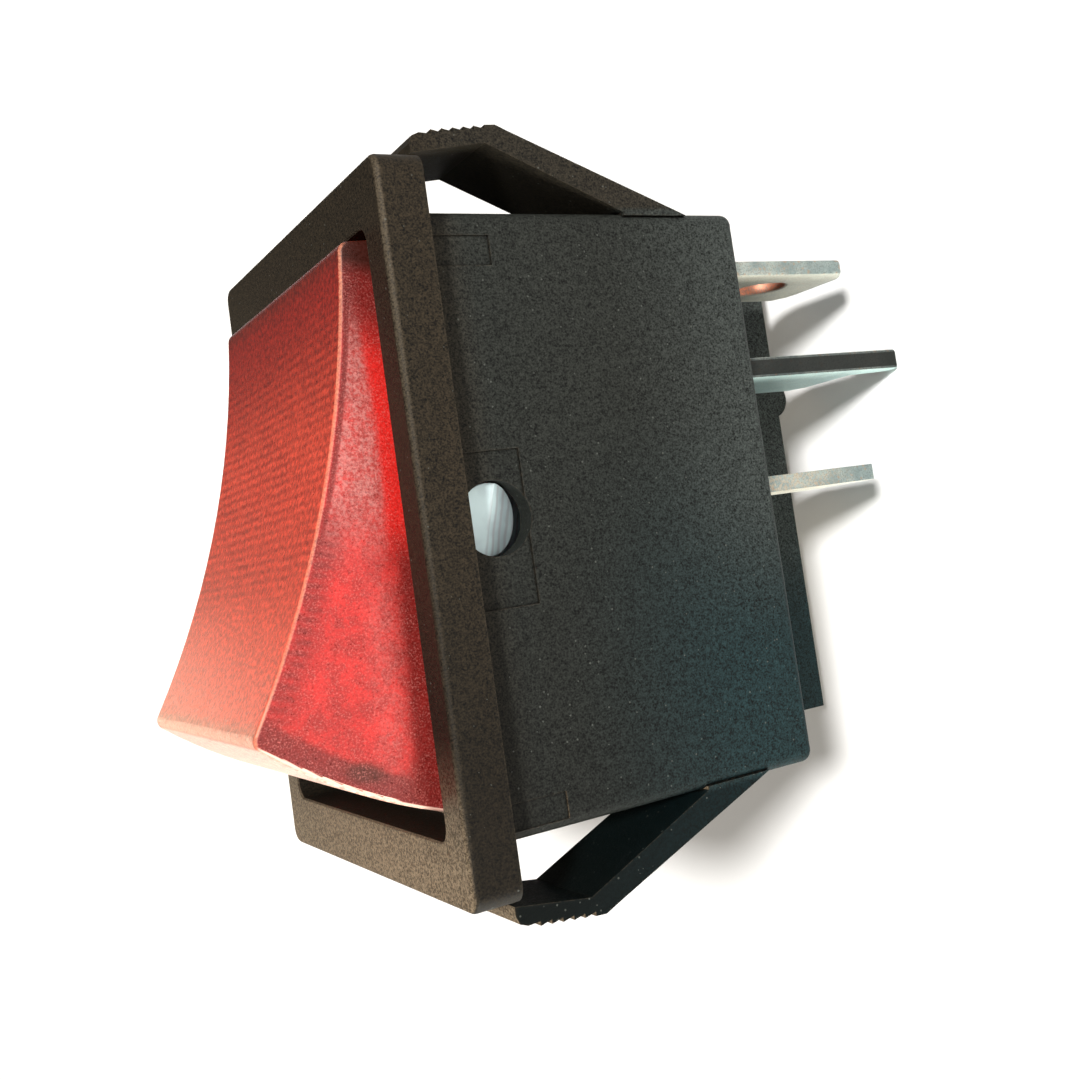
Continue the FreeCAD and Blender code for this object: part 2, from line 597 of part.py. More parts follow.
# Centre of the circle that the dished front is cut from, above the rocker's axis
DISH_RISE = "(Dims.lensLipHeight - Dims.lensMidHeight)"
DISH_RADIUS = f"(({LENS_LIP} ^ 2 + {DISH_RISE} ^ 2) / (2 * {DISH_RISE}))"
DISH_CENTRE = f"(Dims.lensMidHeight + {DISH_RADIUS})"


def make_lens():
    body = make_body("rocker_lens")
    half = f"{LENS_WIDTH} / 2"
    sketch = make_sketch(body, "YZ", "-" + half, "lens_profile")
    add_outline(sketch, [
        (f"-{LENS_SKIRT}", "-Dims.lensSkirtDepth"),
        (LENS_SKIRT, "-Dims.lensSkirtDepth"),
        (LENS_HIP, "0", "Dims.lensEndRadius", -1),
        (LENS_LIP, "Dims.lensLipHeight", DISH_RADIUS, 1),
        (f"-{LENS_LIP}", "Dims.lensLipHeight", "Dims.lensEndRadius", -1),
        (f"-{LENS_HIP}", "0"),
    ])
    add_pad(body, sketch, LENS_WIDTH, name="lens_block")
    lip_y = size(LENS_LIP)
    lip_z = size("Dims.lensLipHeight")
    half_x = size(half)
    round_edges(body, lambda p: near(abs(p.y), lip_y) and near(p.z, lip_z), "Dims.lensLipRound", "lips")
    round_edges(
        body,
        lambda p: near(abs(p.x), half_x) and p.z > 0.1,
        "Dims.lensEdgeRound",
        "long_edges",
    )

    inner = f"({half} - Dims.lensSide)"
    roof = f"({DISH_RADIUS} + Dims.lensFront)"
    roof_reach = f"({LENS_LIP} - 1.2 * Dims.lensEnd)"
    roof_height = f"({DISH_CENTRE} - sqrt({roof} ^ 2 - {roof_reach} ^ 2))"
    sketch = make_sketch(body, "YZ", "-" + inner, "lens_inside")
    add_outline(sketch, [
        (f"-{LENS_HIP} + Dims.lensEnd", "-Dims.lensSkirtDepth - 0.5"),
        (f"{LENS_HIP} - Dims.lensEnd", "-Dims.lensSkirtDepth - 0.5"),
        (f"{LENS_HIP} - Dims.lensEnd", "0", "Dims.lensEndRadius", -1),
        (roof_reach, roof_height, roof, 1),
        ("-" + roof_reach, roof_height, "Dims.lensEndRadius", -1),
        (f"-{LENS_HIP} + Dims.lensEnd", "0"),
    ])
    add_pocket(body, sketch, f"2 * {inner}", backwards=True, name="lens_hollow")

    sketch = make_sketch(body, "YZ", "-" + half, "notch_outline")
    add_outline(sketch, [
        ("-Dims.notchRadius", "-Dims.lensSkirtDepth - 0.1"),
        ("Dims.notchRadius", "-Dims.lensSkirtDepth - 0.1"),
        ("Dims.notchRadius", "Dims.notchRise", "1.02 * Dims.notchRadius", -1),
        ("-Dims.notchRadius", "Dims.notchRise"),
    ])
    add_pocket(body, sketch, LENS_WIDTH, backwards=True, name="trunnion_notches")

    groove_top = f"({roof} - Dims.ridgeDepth)"
    half_pitch = "(Dims.ridgePitch / 2)"
    sketch = make_sketch(body, "YZ", "-" + inner, "ridge_outline")
    sketch.AttachmentOffset = FreeCAD.Placement(
        Vector(0, size(DISH_CENTRE), -size(inner)), FreeCAD.Rotation()
    )
    bind(sketch, "AttachmentOffset.Base.y", DISH_CENTRE)
    add_polygon(sketch, [
        ("-" + half_pitch, f"-{roof} - 0.02"),
        (half_pitch, f"-{roof} - 0.02"),
        ("0", f"-{groove_top}"),
    ])
    groove = add_pocket(body, sketch, f"2 * {inner}", backwards=True, name="ridge_groove")
    pattern = body.newObject("PartDesign::PolarPattern", "ridges")
    pattern.Originals = [groove]
    pattern.Axis = (sketch, ["N_Axis"])
    pattern.Mode = "Spacing"
    # the pattern turns one way only, so the first groove is drawn in the middle and runs both ways
    bind(pattern, "Occurrences", "(Dims.ridgeCount + 1) / 2")
    bind(pattern, "Offset", f"Dims.ridgePitch / {roof} * 180 / pi * 1 deg")
    body.Tip = pattern
    doc.recompute()
    mirror = body.newObject("PartDesign::PolarPattern", "ridges_back")
    mirror.Originals = [groove]
    mirror.Axis = (sketch, ["N_Axis"])
    mirror.Mode = "Spacing"
    mirror.Reversed = True
    bind(mirror, "Occurrences", "(Dims.ridgeCount + 1) / 2")
    bind(mirror, "Offset", f"Dims.ridgePitch / {roof} * 180 / pi * 1 deg")
    body.Tip = mirror
    doc.recompute()
    place(body, PIVOT, "-Dims.rockTilt")
    return body


def make_carrier():
    body = make_body("carrier")
    half = f"({LENS_WIDTH} / 2 - Dims.lensSide - Dims.carrierGap)"
    bottom = CARRIER_BOTTOM
    sketch = make_sketch(body, "YZ", "-" + half, "carrier_profile")
    add_polygon(sketch, [
        (f"-{CARRIER_FOOT}", bottom),
        (CARRIER_FOOT, bottom),
        (CARRIER_FOOT, "0"),
        (CARRIER_RIM, "Dims.carrierTop"),
        (f"-{CARRIER_RIM}", "Dims.carrierTop"),
        (f"-{CARRIER_FOOT}", "0"),
    ])
    add_pad(body, sketch, f"2 * {half}", name="carrier_block")

    well = f"({half} - Dims.carrierWall)"
    well_end = f"({CARRIER_RIM} - Dims.carrierWall)"
    floor = f"({bottom} + Dims.carrierFloor)"
    sketch = make_sketch(body, "XY", "Dims.carrierTop", "well_outline")
    add_rectangle(sketch, "-" + well, well, "-" + well_end, well_end)
    add_pocket(body, sketch, f"Dims.carrierTop - {floor}", name="well")

    # saddles for the lamp
    for name, side in SIDES:
        start = along(side, "0.3 * Dims.lampLength") + " - Dims.cradleThickness / 2"
        sketch = make_sketch(body, "YZ", start, f"cradle_outline_{name}")
        add_rectangle(sketch, "-Dims.cradleHalf", "Dims.cradleHalf", floor, "Dims.lampHeight - Dims.cradleDrop")
        add_pad(body, sketch, "Dims.cradleThickness", name=f"cradle_{name}")
    sketch = make_sketch(body, "YZ", "-Dims.lampLength / 2", "lamp_seat_outline")
    add_circle(sketch, "0", "Dims.lampHeight", "Dims.lampRadius + Dims.seatGap")
    add_pocket(body, sketch, "Dims.lampLength", backwards=True, name="lamp_seat")

    for name, side in SIDES:
        sketch = make_sketch(body, "XY", "-Dims.tubeRoof + Dims.tubeHead", f"tube_outline_{name}")
        add_circle(sketch, along(side, POLE), "0", "Dims.tubeRadius")
        length = "Dims.tubeEnd - Dims.tubeRoof + Dims.tubeHead"
        add_pad(body, sketch, length, backwards=True, name=f"tube_{name}")
    for name, side in SIDES:
        sketch = make_sketch(body, "XY", "-Dims.tubeRoof", f"bore_outline_{name}")
        add_circle(sketch, along(side, POLE), "0", BORE)
        add_pocket(body, sketch, "Dims.tubeEnd - Dims.tubeRoof", name=f"bore_{name}")

    for name, side in SIDES:
        sketch = make_sketch(body, "XY", floor, f"rivet_hole_outline_{name}")
        add_circle(sketch, along(side, LAMP_SPRING_PLACE), RIVET_PLACE, "Dims.rivetRadius + Dims.seatGap")
        add_pocket(body, sketch, "Dims.carrierFloor", name=f"rivet_hole_{name}")

    add_trunnions(body, half)
    place(body, PIVOT, "-Dims.rockTilt")
    return body


def add_trunnions(body, half):
    """Trunnions with a slanted lower half, so that the rocker snaps in from the front."""
    for name, side in SIDES:
        start = along(side, half)
        reach = f"({BOX_WIDTH} / 2 - Dims.trunnionEndGap - {half})"
        sketch = make_sketch(body, "YZ", start, f"trunnion_outline_{name}")
        add_circle(sketch, "0", "0", "Dims.trunnionRadius")
        add_pad(body, sketch, reach, backwards=(name == "far"), name=f"trunnion_{name}")
        sketch = make_sketch(body, "XZ", "Dims.trunnionRadius", f"lead_in_outline_{name}")
        tip = along(side, f"{BOX_WIDTH} / 2 - Dims.trunnionEndGap")
        base = along(side, f"{BOX_WIDTH} / 2 - Dims.trunnionEndGap - Dims.leadInLength")
        beyond = along(side, f"{BOX_WIDTH} / 2")
        add_polygon(sketch, [
            (tip, "Dims.leadInRise"),
            (beyond, "Dims.leadInRise"),
            (beyond, "-Dims.trunnionRadius - Dims.leadInRise"),
            (base, "-Dims.trunnionRadius - Dims.leadInRise"),
        ])
        add_pocket(body, sketch, "2 * Dims.trunnionRadius", name=f"lead_in_{name}")


# the lamp rivets stand over the lamp springs while the rocker is at rest
CARRIER_BOTTOM = "(-Dims.lensSkirtDepth - Dims.carrierBelow)"
RIVET_PLACE = (
    f"(({LAMP_PLACE} - {CARRIER_BOTTOM} * sin(Dims.rockTilt * 1 deg)) / cos(Dims.rockTilt * 1 deg))"
)
RESISTOR_PLACE = f"({RIVET_PLACE} - Dims.resistorInset)"
LEAD_RETURN = f"({RIVET_PLACE} - Dims.leadReturnInset)"
LEAD_HEIGHT = f"({CARRIER_BOTTOM} + Dims.carrierFloor + Dims.resistorRadius)"
LAMP_FOOT = f"({FLOOR} + Dims.lampFoot)"


def make_plunger(name, side):
    body = make_body(f"plunger_{name}")
    sketch = make_sketch(body, "XZ", name="plunger_profile")
    peg = "Dims.springRadius - 1.2 * Dims.springWire"
    add_outline(sketch, [
        ("0", "-Dims.plungerShoulder + Dims.plungerPeg"),
        ("0", f"-{NOSE} - Dims.plungerRadius", "Dims.plungerRadius", -1),
        ("Dims.plungerRadius", f"-{NOSE}"),
        ("Dims.plungerRadius", "-Dims.plungerShoulder"),
        (peg, "-Dims.plungerShoulder"),
        (peg, "-Dims.plungerShoulder + Dims.plungerPeg"),
    ])
    turn_profile(body, sketch)
    place(body, PIVOT, "-Dims.rockTilt", along(side, POLE))
    return body


def turn_profile(body, sketch, axis="V_Axis"):
    turned = body.newObject("PartDesign::Revolution", "turned")
    turned.Profile = sketch
    turned.ReferenceAxis = (sketch, [axis])
    turned.Angle = 360
    doc.recompute()
    return turned


def make_coil(name, radius, wire, low, high, turns):
    """Wire spring about its own Z axis, bent in short straight stretches from one height to another."""
    radius = size(radius)
    thickness = size(wire)
    bottom = size(low) + thickness / 2
    rise = size(high) - size(low) - thickness
    stretches = 12
    count = round(size(turns) * stretches)
    turn = 2 * math.pi / stretches
    points = [
        Vector(radius * math.cos(i * turn), radius * math.sin(i * turn), bottom + rise * i / count)
        for i in range(count + 1)
    ]
    along_wire = points[1].sub(points[0]).normalize()
    across = Vector(0, 0, 1).cross(along_wire).normalize()
    upward = along_wire.cross(across)
    section = []
    for i in range(7):
        angle = i * math.pi / 3
        corner = points[0] + across * (thickness / 2 * math.cos(angle))
        section.append(corner + upward * (thickness / 2 * math.sin(angle)))
    sweep = Part.BRepOffsetAPI.MakePipeShell(Part.makePolygon(points))
    sweep.setTransitionMode(1)
    sweep.add(Part.makePolygon(section))
    sweep.build()
    sweep.makeSolid()
    coil = doc.addObject("Part::Feature", name)
    coil.Label = name
    coil.Shape = sweep.shape()
    return coil


def make_plunger_spring(name, side):
    body = make_coil(
        f"plunger_spring_{name}",
        "Dims.springRadius",
        "Dims.springWire",
        "-Dims.plungerShoulder + Dims.springSeat",
        "-Dims.tubeRoof - Dims.springSeat",
        "Dims.springTurns",
    )
    place(body, PIVOT, "-Dims.rockTilt", along(side, POLE))
    return body


def make_contact_bar(name, side):
    body = make_body(f"contact_bar_{name}")
    sketch = make_sketch(body, "YZ", "-Dims.barWidth / 2", "bar_profile")
    under = f"({SADDLE_RADIUS} + Dims.barThickness)"
    lip = f"({SADDLE_CENTRE} - sqrt({SADDLE_RADIUS} ^ 2 - Dims.saddleHalf ^ 2))"
    inner_reach = "(Dims.saddleHalf + 0.15 * Dims.barThickness)"
    inner_lip = f"({SADDLE_CENTRE} - sqrt({under} ^ 2 - {inner_reach} ^ 2))"
    crown = f"({lip} + Dims.shoulderRise)"
    low = "(Dims.saddleHeight - Dims.barThickness)"
    add_outline(sketch, [
        (BAR_END, low),
        (BAR_END, "Dims.saddleHeight"),
        (BAR_ARM, "Dims.saddleHeight"),
        ("Dims.shoulderHalf", crown, "Dims.shoulderRound", -1),
        ("Dims.saddleHalf", lip, SADDLE_RADIUS, 1),
        ("-Dims.saddleHalf", lip, "Dims.shoulderRound", -1),
        ("-Dims.shoulderHalf", crown),
        (f"-{BAR_ARM}", "Dims.saddleHeight"),
        (f"-{BAR_END}", "Dims.saddleHeight"),
        (f"-{BAR_END}", low),
        (f"-{BAR_ARM} - Dims.bendStep", low),
        ("-Dims.shoulderHalf + Dims.bendStep", f"{crown} - 1.1 * Dims.barThickness"),
        ("-" + inner_reach, inner_lip, under, -1),
        (inner_reach, inner_lip),
        ("Dims.shoulderHalf - Dims.bendStep", f"{crown} - 1.1 * Dims.barThickness"),
        (f"{BAR_ARM} + Dims.bendStep", low),
    ])
    add_pad(body, sketch, "Dims.barWidth", name="bar_strip")
    half_bar = size("Dims.barWidth") / 2
    reach = size(BAR_END)
    round_edges(body, lambda p: near(abs(p.x), half_bar) and near(abs(p.y), reach), "Dims.barThickness",
                "bar_corners")
    sketch = make_sketch(body, "XY", "Dims.saddleHeight", "rivet_hole_outline")
    add_circle(sketch, "0", CONTACT_REACH, "Dims.contactShank + Dims.seatGap")
    add_pocket(body, sketch, "Dims.barThickness", name="rivet_hole")
    place(body, FULCRUM, "Dims.contactTilt", along(side, POLE))
    return body


def make_moving_contact(name, side):
    """Domed button under the bar, riveted through it."""
    body = make_body(f"moving_contact_{name}")
    sketch = make_sketch(body, "XZ", f"-{CONTACT_REACH}", "button_profile")
    low = "(Dims.saddleHeight - Dims.barThickness)"
    rim = f"({BUTTON_UNDER} + Dims.contactDome - sqrt(Dims.contactDome ^ 2 - Dims.contactRadius ^ 2))"
    add_outline(sketch, [
        ("0", BUTTON_UNDER, "Dims.contactDome", -1),
        ("Dims.contactRadius", rim),
        ("Dims.contactRadius", low),
        ("Dims.contactShank", low),
        ("Dims.contactShank", "Dims.saddleHeight"),
        ("Dims.contactShank + Dims.contactHead", "Dims.saddleHeight"),
        ("Dims.contactShank + 0.6 * Dims.contactHead", "Dims.saddleHeight + Dims.contactHeadHeight"),
        ("0", "Dims.saddleHeight + Dims.contactHeadHeight"),
    ])
    turn_profile(body, sketch)
    place(body, FULCRUM, "Dims.contactTilt", along(side, POLE))
    return body


def make_fixed_contact(name, side):
    body = make_body(f"fixed_contact_{name}")
    sketch = make_sketch(body, "XZ", f"-{FIXED_REACH}", "button_profile")
    add_outline(sketch, [
        ("0", FIXED_TOP),
        ("0", FLOOR),
        ("Dims.contactShank", FLOOR),
        ("Dims.contactShank", PAD_TOP),
        ("Dims.contactRadius", PAD_TOP),
        ("Dims.contactRadius", f"{FIXED_TOP} - Dims.contactBevel"),
        ("Dims.contactRadius - Dims.contactBevel", FIXED_TOP),
    ])
    turn_profile(body, sketch)
    place(body, "0", "0", along(side, POLE))
    return body


def add_blade(body, y, thickness, tip, corners):
    """Terminal blade drawn in front view, padded to its thickness and bevelled along its tip."""
    sketch = make_sketch(body, "XZ", f"-({y}) - {thickness} / 2", "blade_outline")
    add_polygon(sketch, corners)
    add_pad(body, sketch, thickness, name="blade")
    place_y = size(y)
    half_thickness = size(thickness) / 2
    tip_z = -size(tip)
    bevel_edges(
        body,
        lambda p: near(p.z, tip_z) and near(abs(p.y - place_y), half_thickness),
        "Dims.bladeEdge",
        "tip_edges",
    )


def add_plain_blade(body, y, top):
    """Blade of a load or common terminal: both corners of its tip are cut."""
    half = "Dims.bladeWidth / 2"
    add_blade(body, y, "Dims.bladeThickness", "Dims.bladeTip", [
        (half, top),
        (half, "-Dims.bladeTip + Dims.bladeCornerLength"),
        (f"{half} - Dims.bladeCorner", "-Dims.bladeTip"),
        (f"-{half} + Dims.bladeCorner", "-Dims.bladeTip"),
        ("-" + half, "-Dims.bladeTip + Dims.bladeCornerLength"),
        ("-" + half, top),
    ])


def make_common_terminal(name, side):
    """Straight blade whose top is notched for the contact bar and rounded where the bar rocks."""
    body = make_body(f"common_terminal_{name}")
    half = "Dims.bladeWidth / 2"
    add_plain_blade(body, "0", FULCRUM)
    notch = "(Dims.barWidth / 2 + 2 * Dims.seatGap)"
    for horn, start in (("near", notch), ("far", "-" + half)):
        sketch = make_sketch(body, "XY", FULCRUM + " - 0.001", f"horn_outline_{horn}")
        add_rectangle(sketch, start, f"{start} + {half} - {notch}",
                      "-Dims.bladeThickness / 2", "Dims.bladeThickness / 2")
        add_pad(body, sketch, "Dims.hornHeight", name=f"horn_{horn}")
    sketch = make_sketch(body, "YZ", "-" + notch, "fulcrum_outline")
    add_circle(sketch, "0", FULCRUM, "Dims.fulcrumRadius")
    add_pad(body, sketch, f"2 * {notch}", name="fulcrum")
    place(body, "0", "0", along(side, POLE))
    return body


def make_load_terminal(name, side):
    """Blade with an eye, bent inward on the floor into a pad for the fixed contact."""
    body = make_body(f"load_terminal_{name}")
    half = "Dims.bladeWidth / 2"
    add_plain_blade(body, LOAD_PLACE, PAD_TOP)
    sketch = make_sketch(body, "XY", FLOOR, "pad_outline")
    add_rectangle(sketch, "-" + half, half, LOAD_PAD_END, LOAD_PLACE)
    add_pad(body, sketch, "Dims.bladeThickness", name="contact_pad")
    sketch = make_sketch(body, "XZ", f"-{LOAD_PLACE} - Dims.bladeThickness", "eye_outline")
    add_circle(sketch, "0", "-Dims.eyeDepth", "Dims.eyeRadius")
    add_pocket(body, sketch, "2 * Dims.bladeThickness", backwards=True, name="eye")
    sketch = make_sketch(body, "XY", PAD_TOP, "rivet_hole_outline")
    add_circle(sketch, "0", FIXED_REACH, "Dims.contactShank + Dims.seatGap")
    add_pocket(body, sketch, "Dims.bladeThickness", name="rivet_hole")
    outer_y = size(f"{LOAD_PLACE} + Dims.bladeThickness / 2")
    top_z = size(PAD_TOP)
    round_edges(body, lambda p: near(p.y, outer_y) and near(p.z, top_z), "0.6 * Dims.bladeThickness", "bend")
    place(body, "0", "0", along(side, POLE))
    return body


def make_lamp_terminal(name, side):
    """Blade with a longer finger at its outer edge, and a foot that reaches under the lamp spring."""
    body = make_body(f"lamp_terminal_{name}")
    half = "Dims.bladeWidth / 2"
    finger = f"({half} - Dims.lampFinger)"
    outline = [
        (half, LAMP_FOOT),
        (half, "-Dims.lampTip + Dims.lampCorner"),
        (f"{half} - Dims.lampCorner", "-Dims.lampTip"),
        (finger, "-Dims.lampTip"),
        (f"{finger} - Dims.lampFingerSlope", "-Dims.lampShoulder"),
        (f"-{half} + Dims.bladeCorner", "-Dims.lampShoulder"),
        ("-" + half, "-Dims.lampShoulder + Dims.bladeCornerLength"),
        ("-" + half, LAMP_FOOT),
    ]
    corners = [(along(side, x), z) for x, z in outline]
    add_blade(body, LAMP_PLACE, "Dims.lampThickness", "Dims.lampShoulder", corners)
    sketch = make_sketch(body, "XY", FLOOR, "foot_outline")
    # the foot lies on the inner side of the blade, towards the wall between the poles
    add_rectangle(
        sketch,
        along(side, f"{LAMP_SPRING_PLACE} - {POLE} - Dims.lampFootMargin"),
        along(side, f"-{half} + Dims.lampFootLap"),
        f"{LAMP_PLACE} - Dims.lampFootMargin",
        f"{LOAD_PAD_END} - Dims.seatGap",
    )
    add_pad(body, sketch, "Dims.lampFoot", name="foot")
    place(body, "0", "0", along(side, POLE))
    return body


def make_lamp_spring(name, side):
    top = (
        f"({PIVOT} - {RIVET_PLACE} * sin(Dims.rockTilt * 1 deg)"
        f" + ({CARRIER_BOTTOM} - Dims.rivetHeadThickness) * cos(Dims.rockTilt * 1 deg)"
        " - Dims.rivetHead * sin(Dims.rockTilt * 1 deg))"
    )
    body = make_coil(
        f"lamp_spring_{name}",
        "Dims.lampSpringRadius",
        "Dims.lampSpringWire",
        "Dims.springSeat",
        f"{top} - {LAMP_FOOT} - 3 * Dims.springSeat",
        "Dims.lampSpringTurns",
    )
    body.Placement = FreeCAD.Placement(
        Vector(size(along(side, LAMP_SPRING_PLACE)), size(LAMP_PLACE), size(LAMP_FOOT)),
        FreeCAD.Rotation(),
    )
    bind(body, "Placement.Base.x", along(side, LAMP_SPRING_PLACE))
    bind(body, "Placement.Base.y", LAMP_PLACE)
    bind(body, "Placement.Base.z", LAMP_FOOT)
    return body


def make_lamp_rivet(name, side):
    """Rivet through the carrier's floor: a broad head below, a solder post above."""
    body = make_body(f"lamp_rivet_{name}")
    sketch = make_sketch(body, "XZ", "-" + RIVET_PLACE, "rivet_profile")
    floor = f"({CARRIER_BOTTOM} + Dims.carrierFloor)"
    shank = "Dims.rivetRadius"
    add_outline(sketch, [
        ("0", f"{LEAD_HEIGHT} - Dims.leadRadius"),
        ("0", f"{CARRIER_BOTTOM} - Dims.rivetHeadThickness"),
        ("Dims.rivetHead - Dims.rivetBevel", f"{CARRIER_BOTTOM} - Dims.rivetHeadThickness"),
        ("Dims.rivetHead", f"{CARRIER_BOTTOM} - Dims.rivetHeadThickness + Dims.rivetBevel"),
        ("Dims.rivetHead", CARRIER_BOTTOM),
        (shank, CARRIER_BOTTOM),
        (shank, floor),
        (f"{shank} + Dims.rivetFlare", floor),
        (f"{shank} + Dims.rivetFlare", f"{floor} + Dims.rivetFlareHeight"),
        (shank, f"{floor} + Dims.rivetFlareHeight"),
        (shank, f"{LEAD_HEIGHT} - Dims.leadRadius"),
    ])
    turn_profile(body, sketch)
    place(body, PIVOT, "-Dims.rockTilt", along(side, LAMP_SPRING_PLACE))
    return body


def make_neon_lamp():
    """Closed glass tube across the rocker, with one lead through each end."""
    body = make_body("neon_lamp")
    end = "Dims.lampLength / 2"
    inner = "(Dims.lampRadius - Dims.lampWall)"
    inner_end = f"({end} - 2 * Dims.lampWall)"
    sketch = make_sketch(body, "XZ", name="glass_profile")
    sketch.AttachmentOffset = FreeCAD.Placement(Vector(0, size("Dims.lampHeight"), 0), FreeCAD.Rotation())
    bind(sketch, "AttachmentOffset.Base.y", "Dims.lampHeight")
    add_outline(sketch, [
        ("-" + end, "0"),
        ("-" + end, "0.6 * Dims.lampRadius"),
        (f"-{end} + 0.4 * Dims.lampRadius", "Dims.lampRadius"),
        (f"{end} - 0.4 * Dims.lampRadius", "Dims.lampRadius"),
        (end, "0.6 * Dims.lampRadius"),
        (end, "0"),
        (inner_end, "0"),
        (inner_end, f"0.7 * {inner}"),
        (f"{inner_end} - 0.3 * {inner}", inner),
        (f"-{inner_end} + 0.3 * {inner}", inner),
        ("-" + inner_end, f"0.7 * {inner}"),
        ("-" + inner_end, "0"),
    ])
    turn_profile(body, sketch, "H_Axis")
    for name, side in SIDES:
        sketch = make_sketch(body, "YZ", along(side, end), f"lead_hole_outline_{name}")
        add_circle(sketch, along(side, "-Dims.leadSpread"), "Dims.lampHeight",
                   "Dims.leadRadius + Dims.leadSeal")
        add_pocket(body, sketch, "3 * Dims.lampWall", backwards=(name == "far"), name=f"lead_hole_{name}")
    place(body, PIVOT, "-Dims.rockTilt")
    return body


def add_wire(body, corners):
    """Round wire through corners given as (x, y, z) expressions, each stretch along one axis."""
    planes = {0: "YZ", 1: "XZ", 2: "XY"}
    for i in range(len(corners) - 1):
        start = [size(c) for c in corners[i]]
        finish = [size(c) for c in corners[i + 1]]
        axis = max(range(3), key=lambda k: abs(finish[k] - start[k]))
        forward = finish[axis] > start[axis]
        sign = "-" if forward else "+"
        # a bend is filled by running each stretch half a wire past its corner
        back = f"{sign} 0.9 * Dims.leadRadius" if i > 0 else ""
        ahead = " + 0.9 * Dims.leadRadius" if i < len(corners) - 2 else ""
        origin = f"({corners[i][axis]}) {back}"
        run = f"abs(({corners[i + 1][axis]}) - ({origin})){ahead}"
        if axis == 1:
            origin = f"-({origin})"
        sketch = make_sketch(body, planes[axis], origin, f"wire_outline_{i}")
        across = [k for k in range(3) if k != axis]
        add_circle(sketch, corners[i][across[0]], corners[i][across[1]], "Dims.leadRadius")
        # the XZ plane faces -Y, so a run towards +Y is padded backwards there
        backwards = forward if axis == 1 else not forward
        add_pad(body, sketch, run, backwards=backwards, name=f"wire_{i}")


def make_neon_lead_near():
    body = make_body("neon_lead_near")
    add_wire(body, [
        ("-Dims.lampLength * 0.25", "-Dims.leadSpread", "Dims.lampHeight"),
        ("Dims.leadReach", "-Dims.leadSpread", "Dims.lampHeight"),
        ("Dims.leadReach", RIVET_PLACE, "Dims.lampHeight"),
        ("Dims.leadReach", RIVET_PLACE, LEAD_HEIGHT),
        (LAMP_SPRING_PLACE, RIVET_PLACE, LEAD_HEIGHT),
    ])
    place(body, PIVOT, "-Dims.rockTilt")
    return body


def make_neon_lead_far():
    body = make_body("neon_lead_far")
    add_wire(body, [
        ("Dims.lampLength * 0.25", "Dims.leadSpread", "Dims.lampHeight"),
        ("-Dims.leadReach", "Dims.leadSpread", "Dims.lampHeight"),
        ("-Dims.leadReach", RESISTOR_PLACE, "Dims.lampHeight"),
        ("-Dims.leadReach", RESISTOR_PLACE, LEAD_HEIGHT),
        ("-Dims.resistorLength / 2", RESISTOR_PLACE, LEAD_HEIGHT),
    ])
    place(body, PIVOT, "-Dims.rockTilt")
    return body


def make_resistor():
    """Small axial resistor with thicker ends."""
    body = make_body("resistor_body")
    end = "Dims.resistorLength / 2"
    sketch = make_sketch(body, "XZ", f"-{RESISTOR_PLACE}", "resistor_profile")
    sketch.AttachmentOffset = FreeCAD.Placement(
        Vector(0, size(LEAD_HEIGHT), -size(RESISTOR_PLACE)), FreeCAD.Rotation()
    )
    bind(sketch, "AttachmentOffset.Base.y", LEAD_HEIGHT)
    add_outline(sketch, [
        ("-" + end, "0"),
        ("-" + end, "0.7 * Dims.resistorRadius"),
        (f"-{end} + Dims.resistorRound", "Dims.resistorRadius"),
        (f"-{end} + Dims.resistorCap", "Dims.resistorRadius"),
        (f"-{end} + Dims.resistorCap + Dims.resistorRound", "0.85 * Dims.resistorRadius"),
        (f"{end} - Dims.resistorCap - Dims.resistorRound", "0.85 * Dims.resistorRadius"),
        (f"{end} - Dims.resistorCap", "Dims.resistorRadius"),
        (f"{end} - Dims.resistorRound", "Dims.resistorRadius"),
        (end, "0.7 * Dims.resistorRadius"),
        (end, "0"),
    ])
    turn_profile(body, sketch, "H_Axis")
    place(body, PIVOT, "-Dims.rockTilt")
    return body


def make_resistor_lead():
    body = make_body("resistor_lead")
    add_wire(body, [
        ("Dims.resistorLength / 2", RESISTOR_PLACE, LEAD_HEIGHT),
        ("Dims.resistorLength / 2 + Dims.resistorLeadEnd", RESISTOR_PLACE, LEAD_HEIGHT),
        ("Dims.resistorLength / 2 + Dims.resistorLeadEnd", LEAD_RETURN, LEAD_HEIGHT),
        (f"-{LAMP_SPRING_PLACE}", LEAD_RETURN, LEAD_HEIGHT),
        (f"-{LAMP_SPRING_PLACE}", RIVET_PLACE, LEAD_HEIGHT),
    ])
    place(body, PIVOT, "-Dims.rockTilt")
    return body


def make_all():
    made = [make_housing(), make_lens(), make_carrier()]
    for name, side in SIDES:
        made.append(make_plunger(name, side))
        made.append(make_plunger_spring(name, side))
        made.append(make_contact_bar(name, side))
        made.append(make_moving_contact(name, side))
        made.append(make_common_terminal(name, side))
        made.append(make_load_terminal(name, side))
        made.append(make_fixed_contact(name, side))
        made.append(make_lamp_terminal(name, side))
        made.append(make_lamp_spring(name, side))
        made.append(make_lamp_rivet(name, side))
    made.append(make_neon_lamp())
    made.append(make_neon_lead_near())
    made.append(make_neon_lead_far())
    made.append(make_resistor())
    made.append(make_resistor_lead())
    return made


def check_and_export(pieces):
    doc.recompute()
    for thing in doc.Objects:
        if "Invalid" in thing.State or "Error" in thing.State:
            raise RuntimeError(f"{thing.Name} did not build: {thing.State}")
    os.makedirs("parts", exist_ok=True)
    for piece in pieces:
        shape = piece.Shape
        if shape.isNull() or not shape.isValid() or len(shape.Solids) != 1:
            raise RuntimeError(f"{piece.Label} is not one sound solid: {len(shape.Solids)} solids")
        shape.exportStep(f"parts/{piece.Label}.step")
        print(piece.Label, round(shape.Volume, 2))


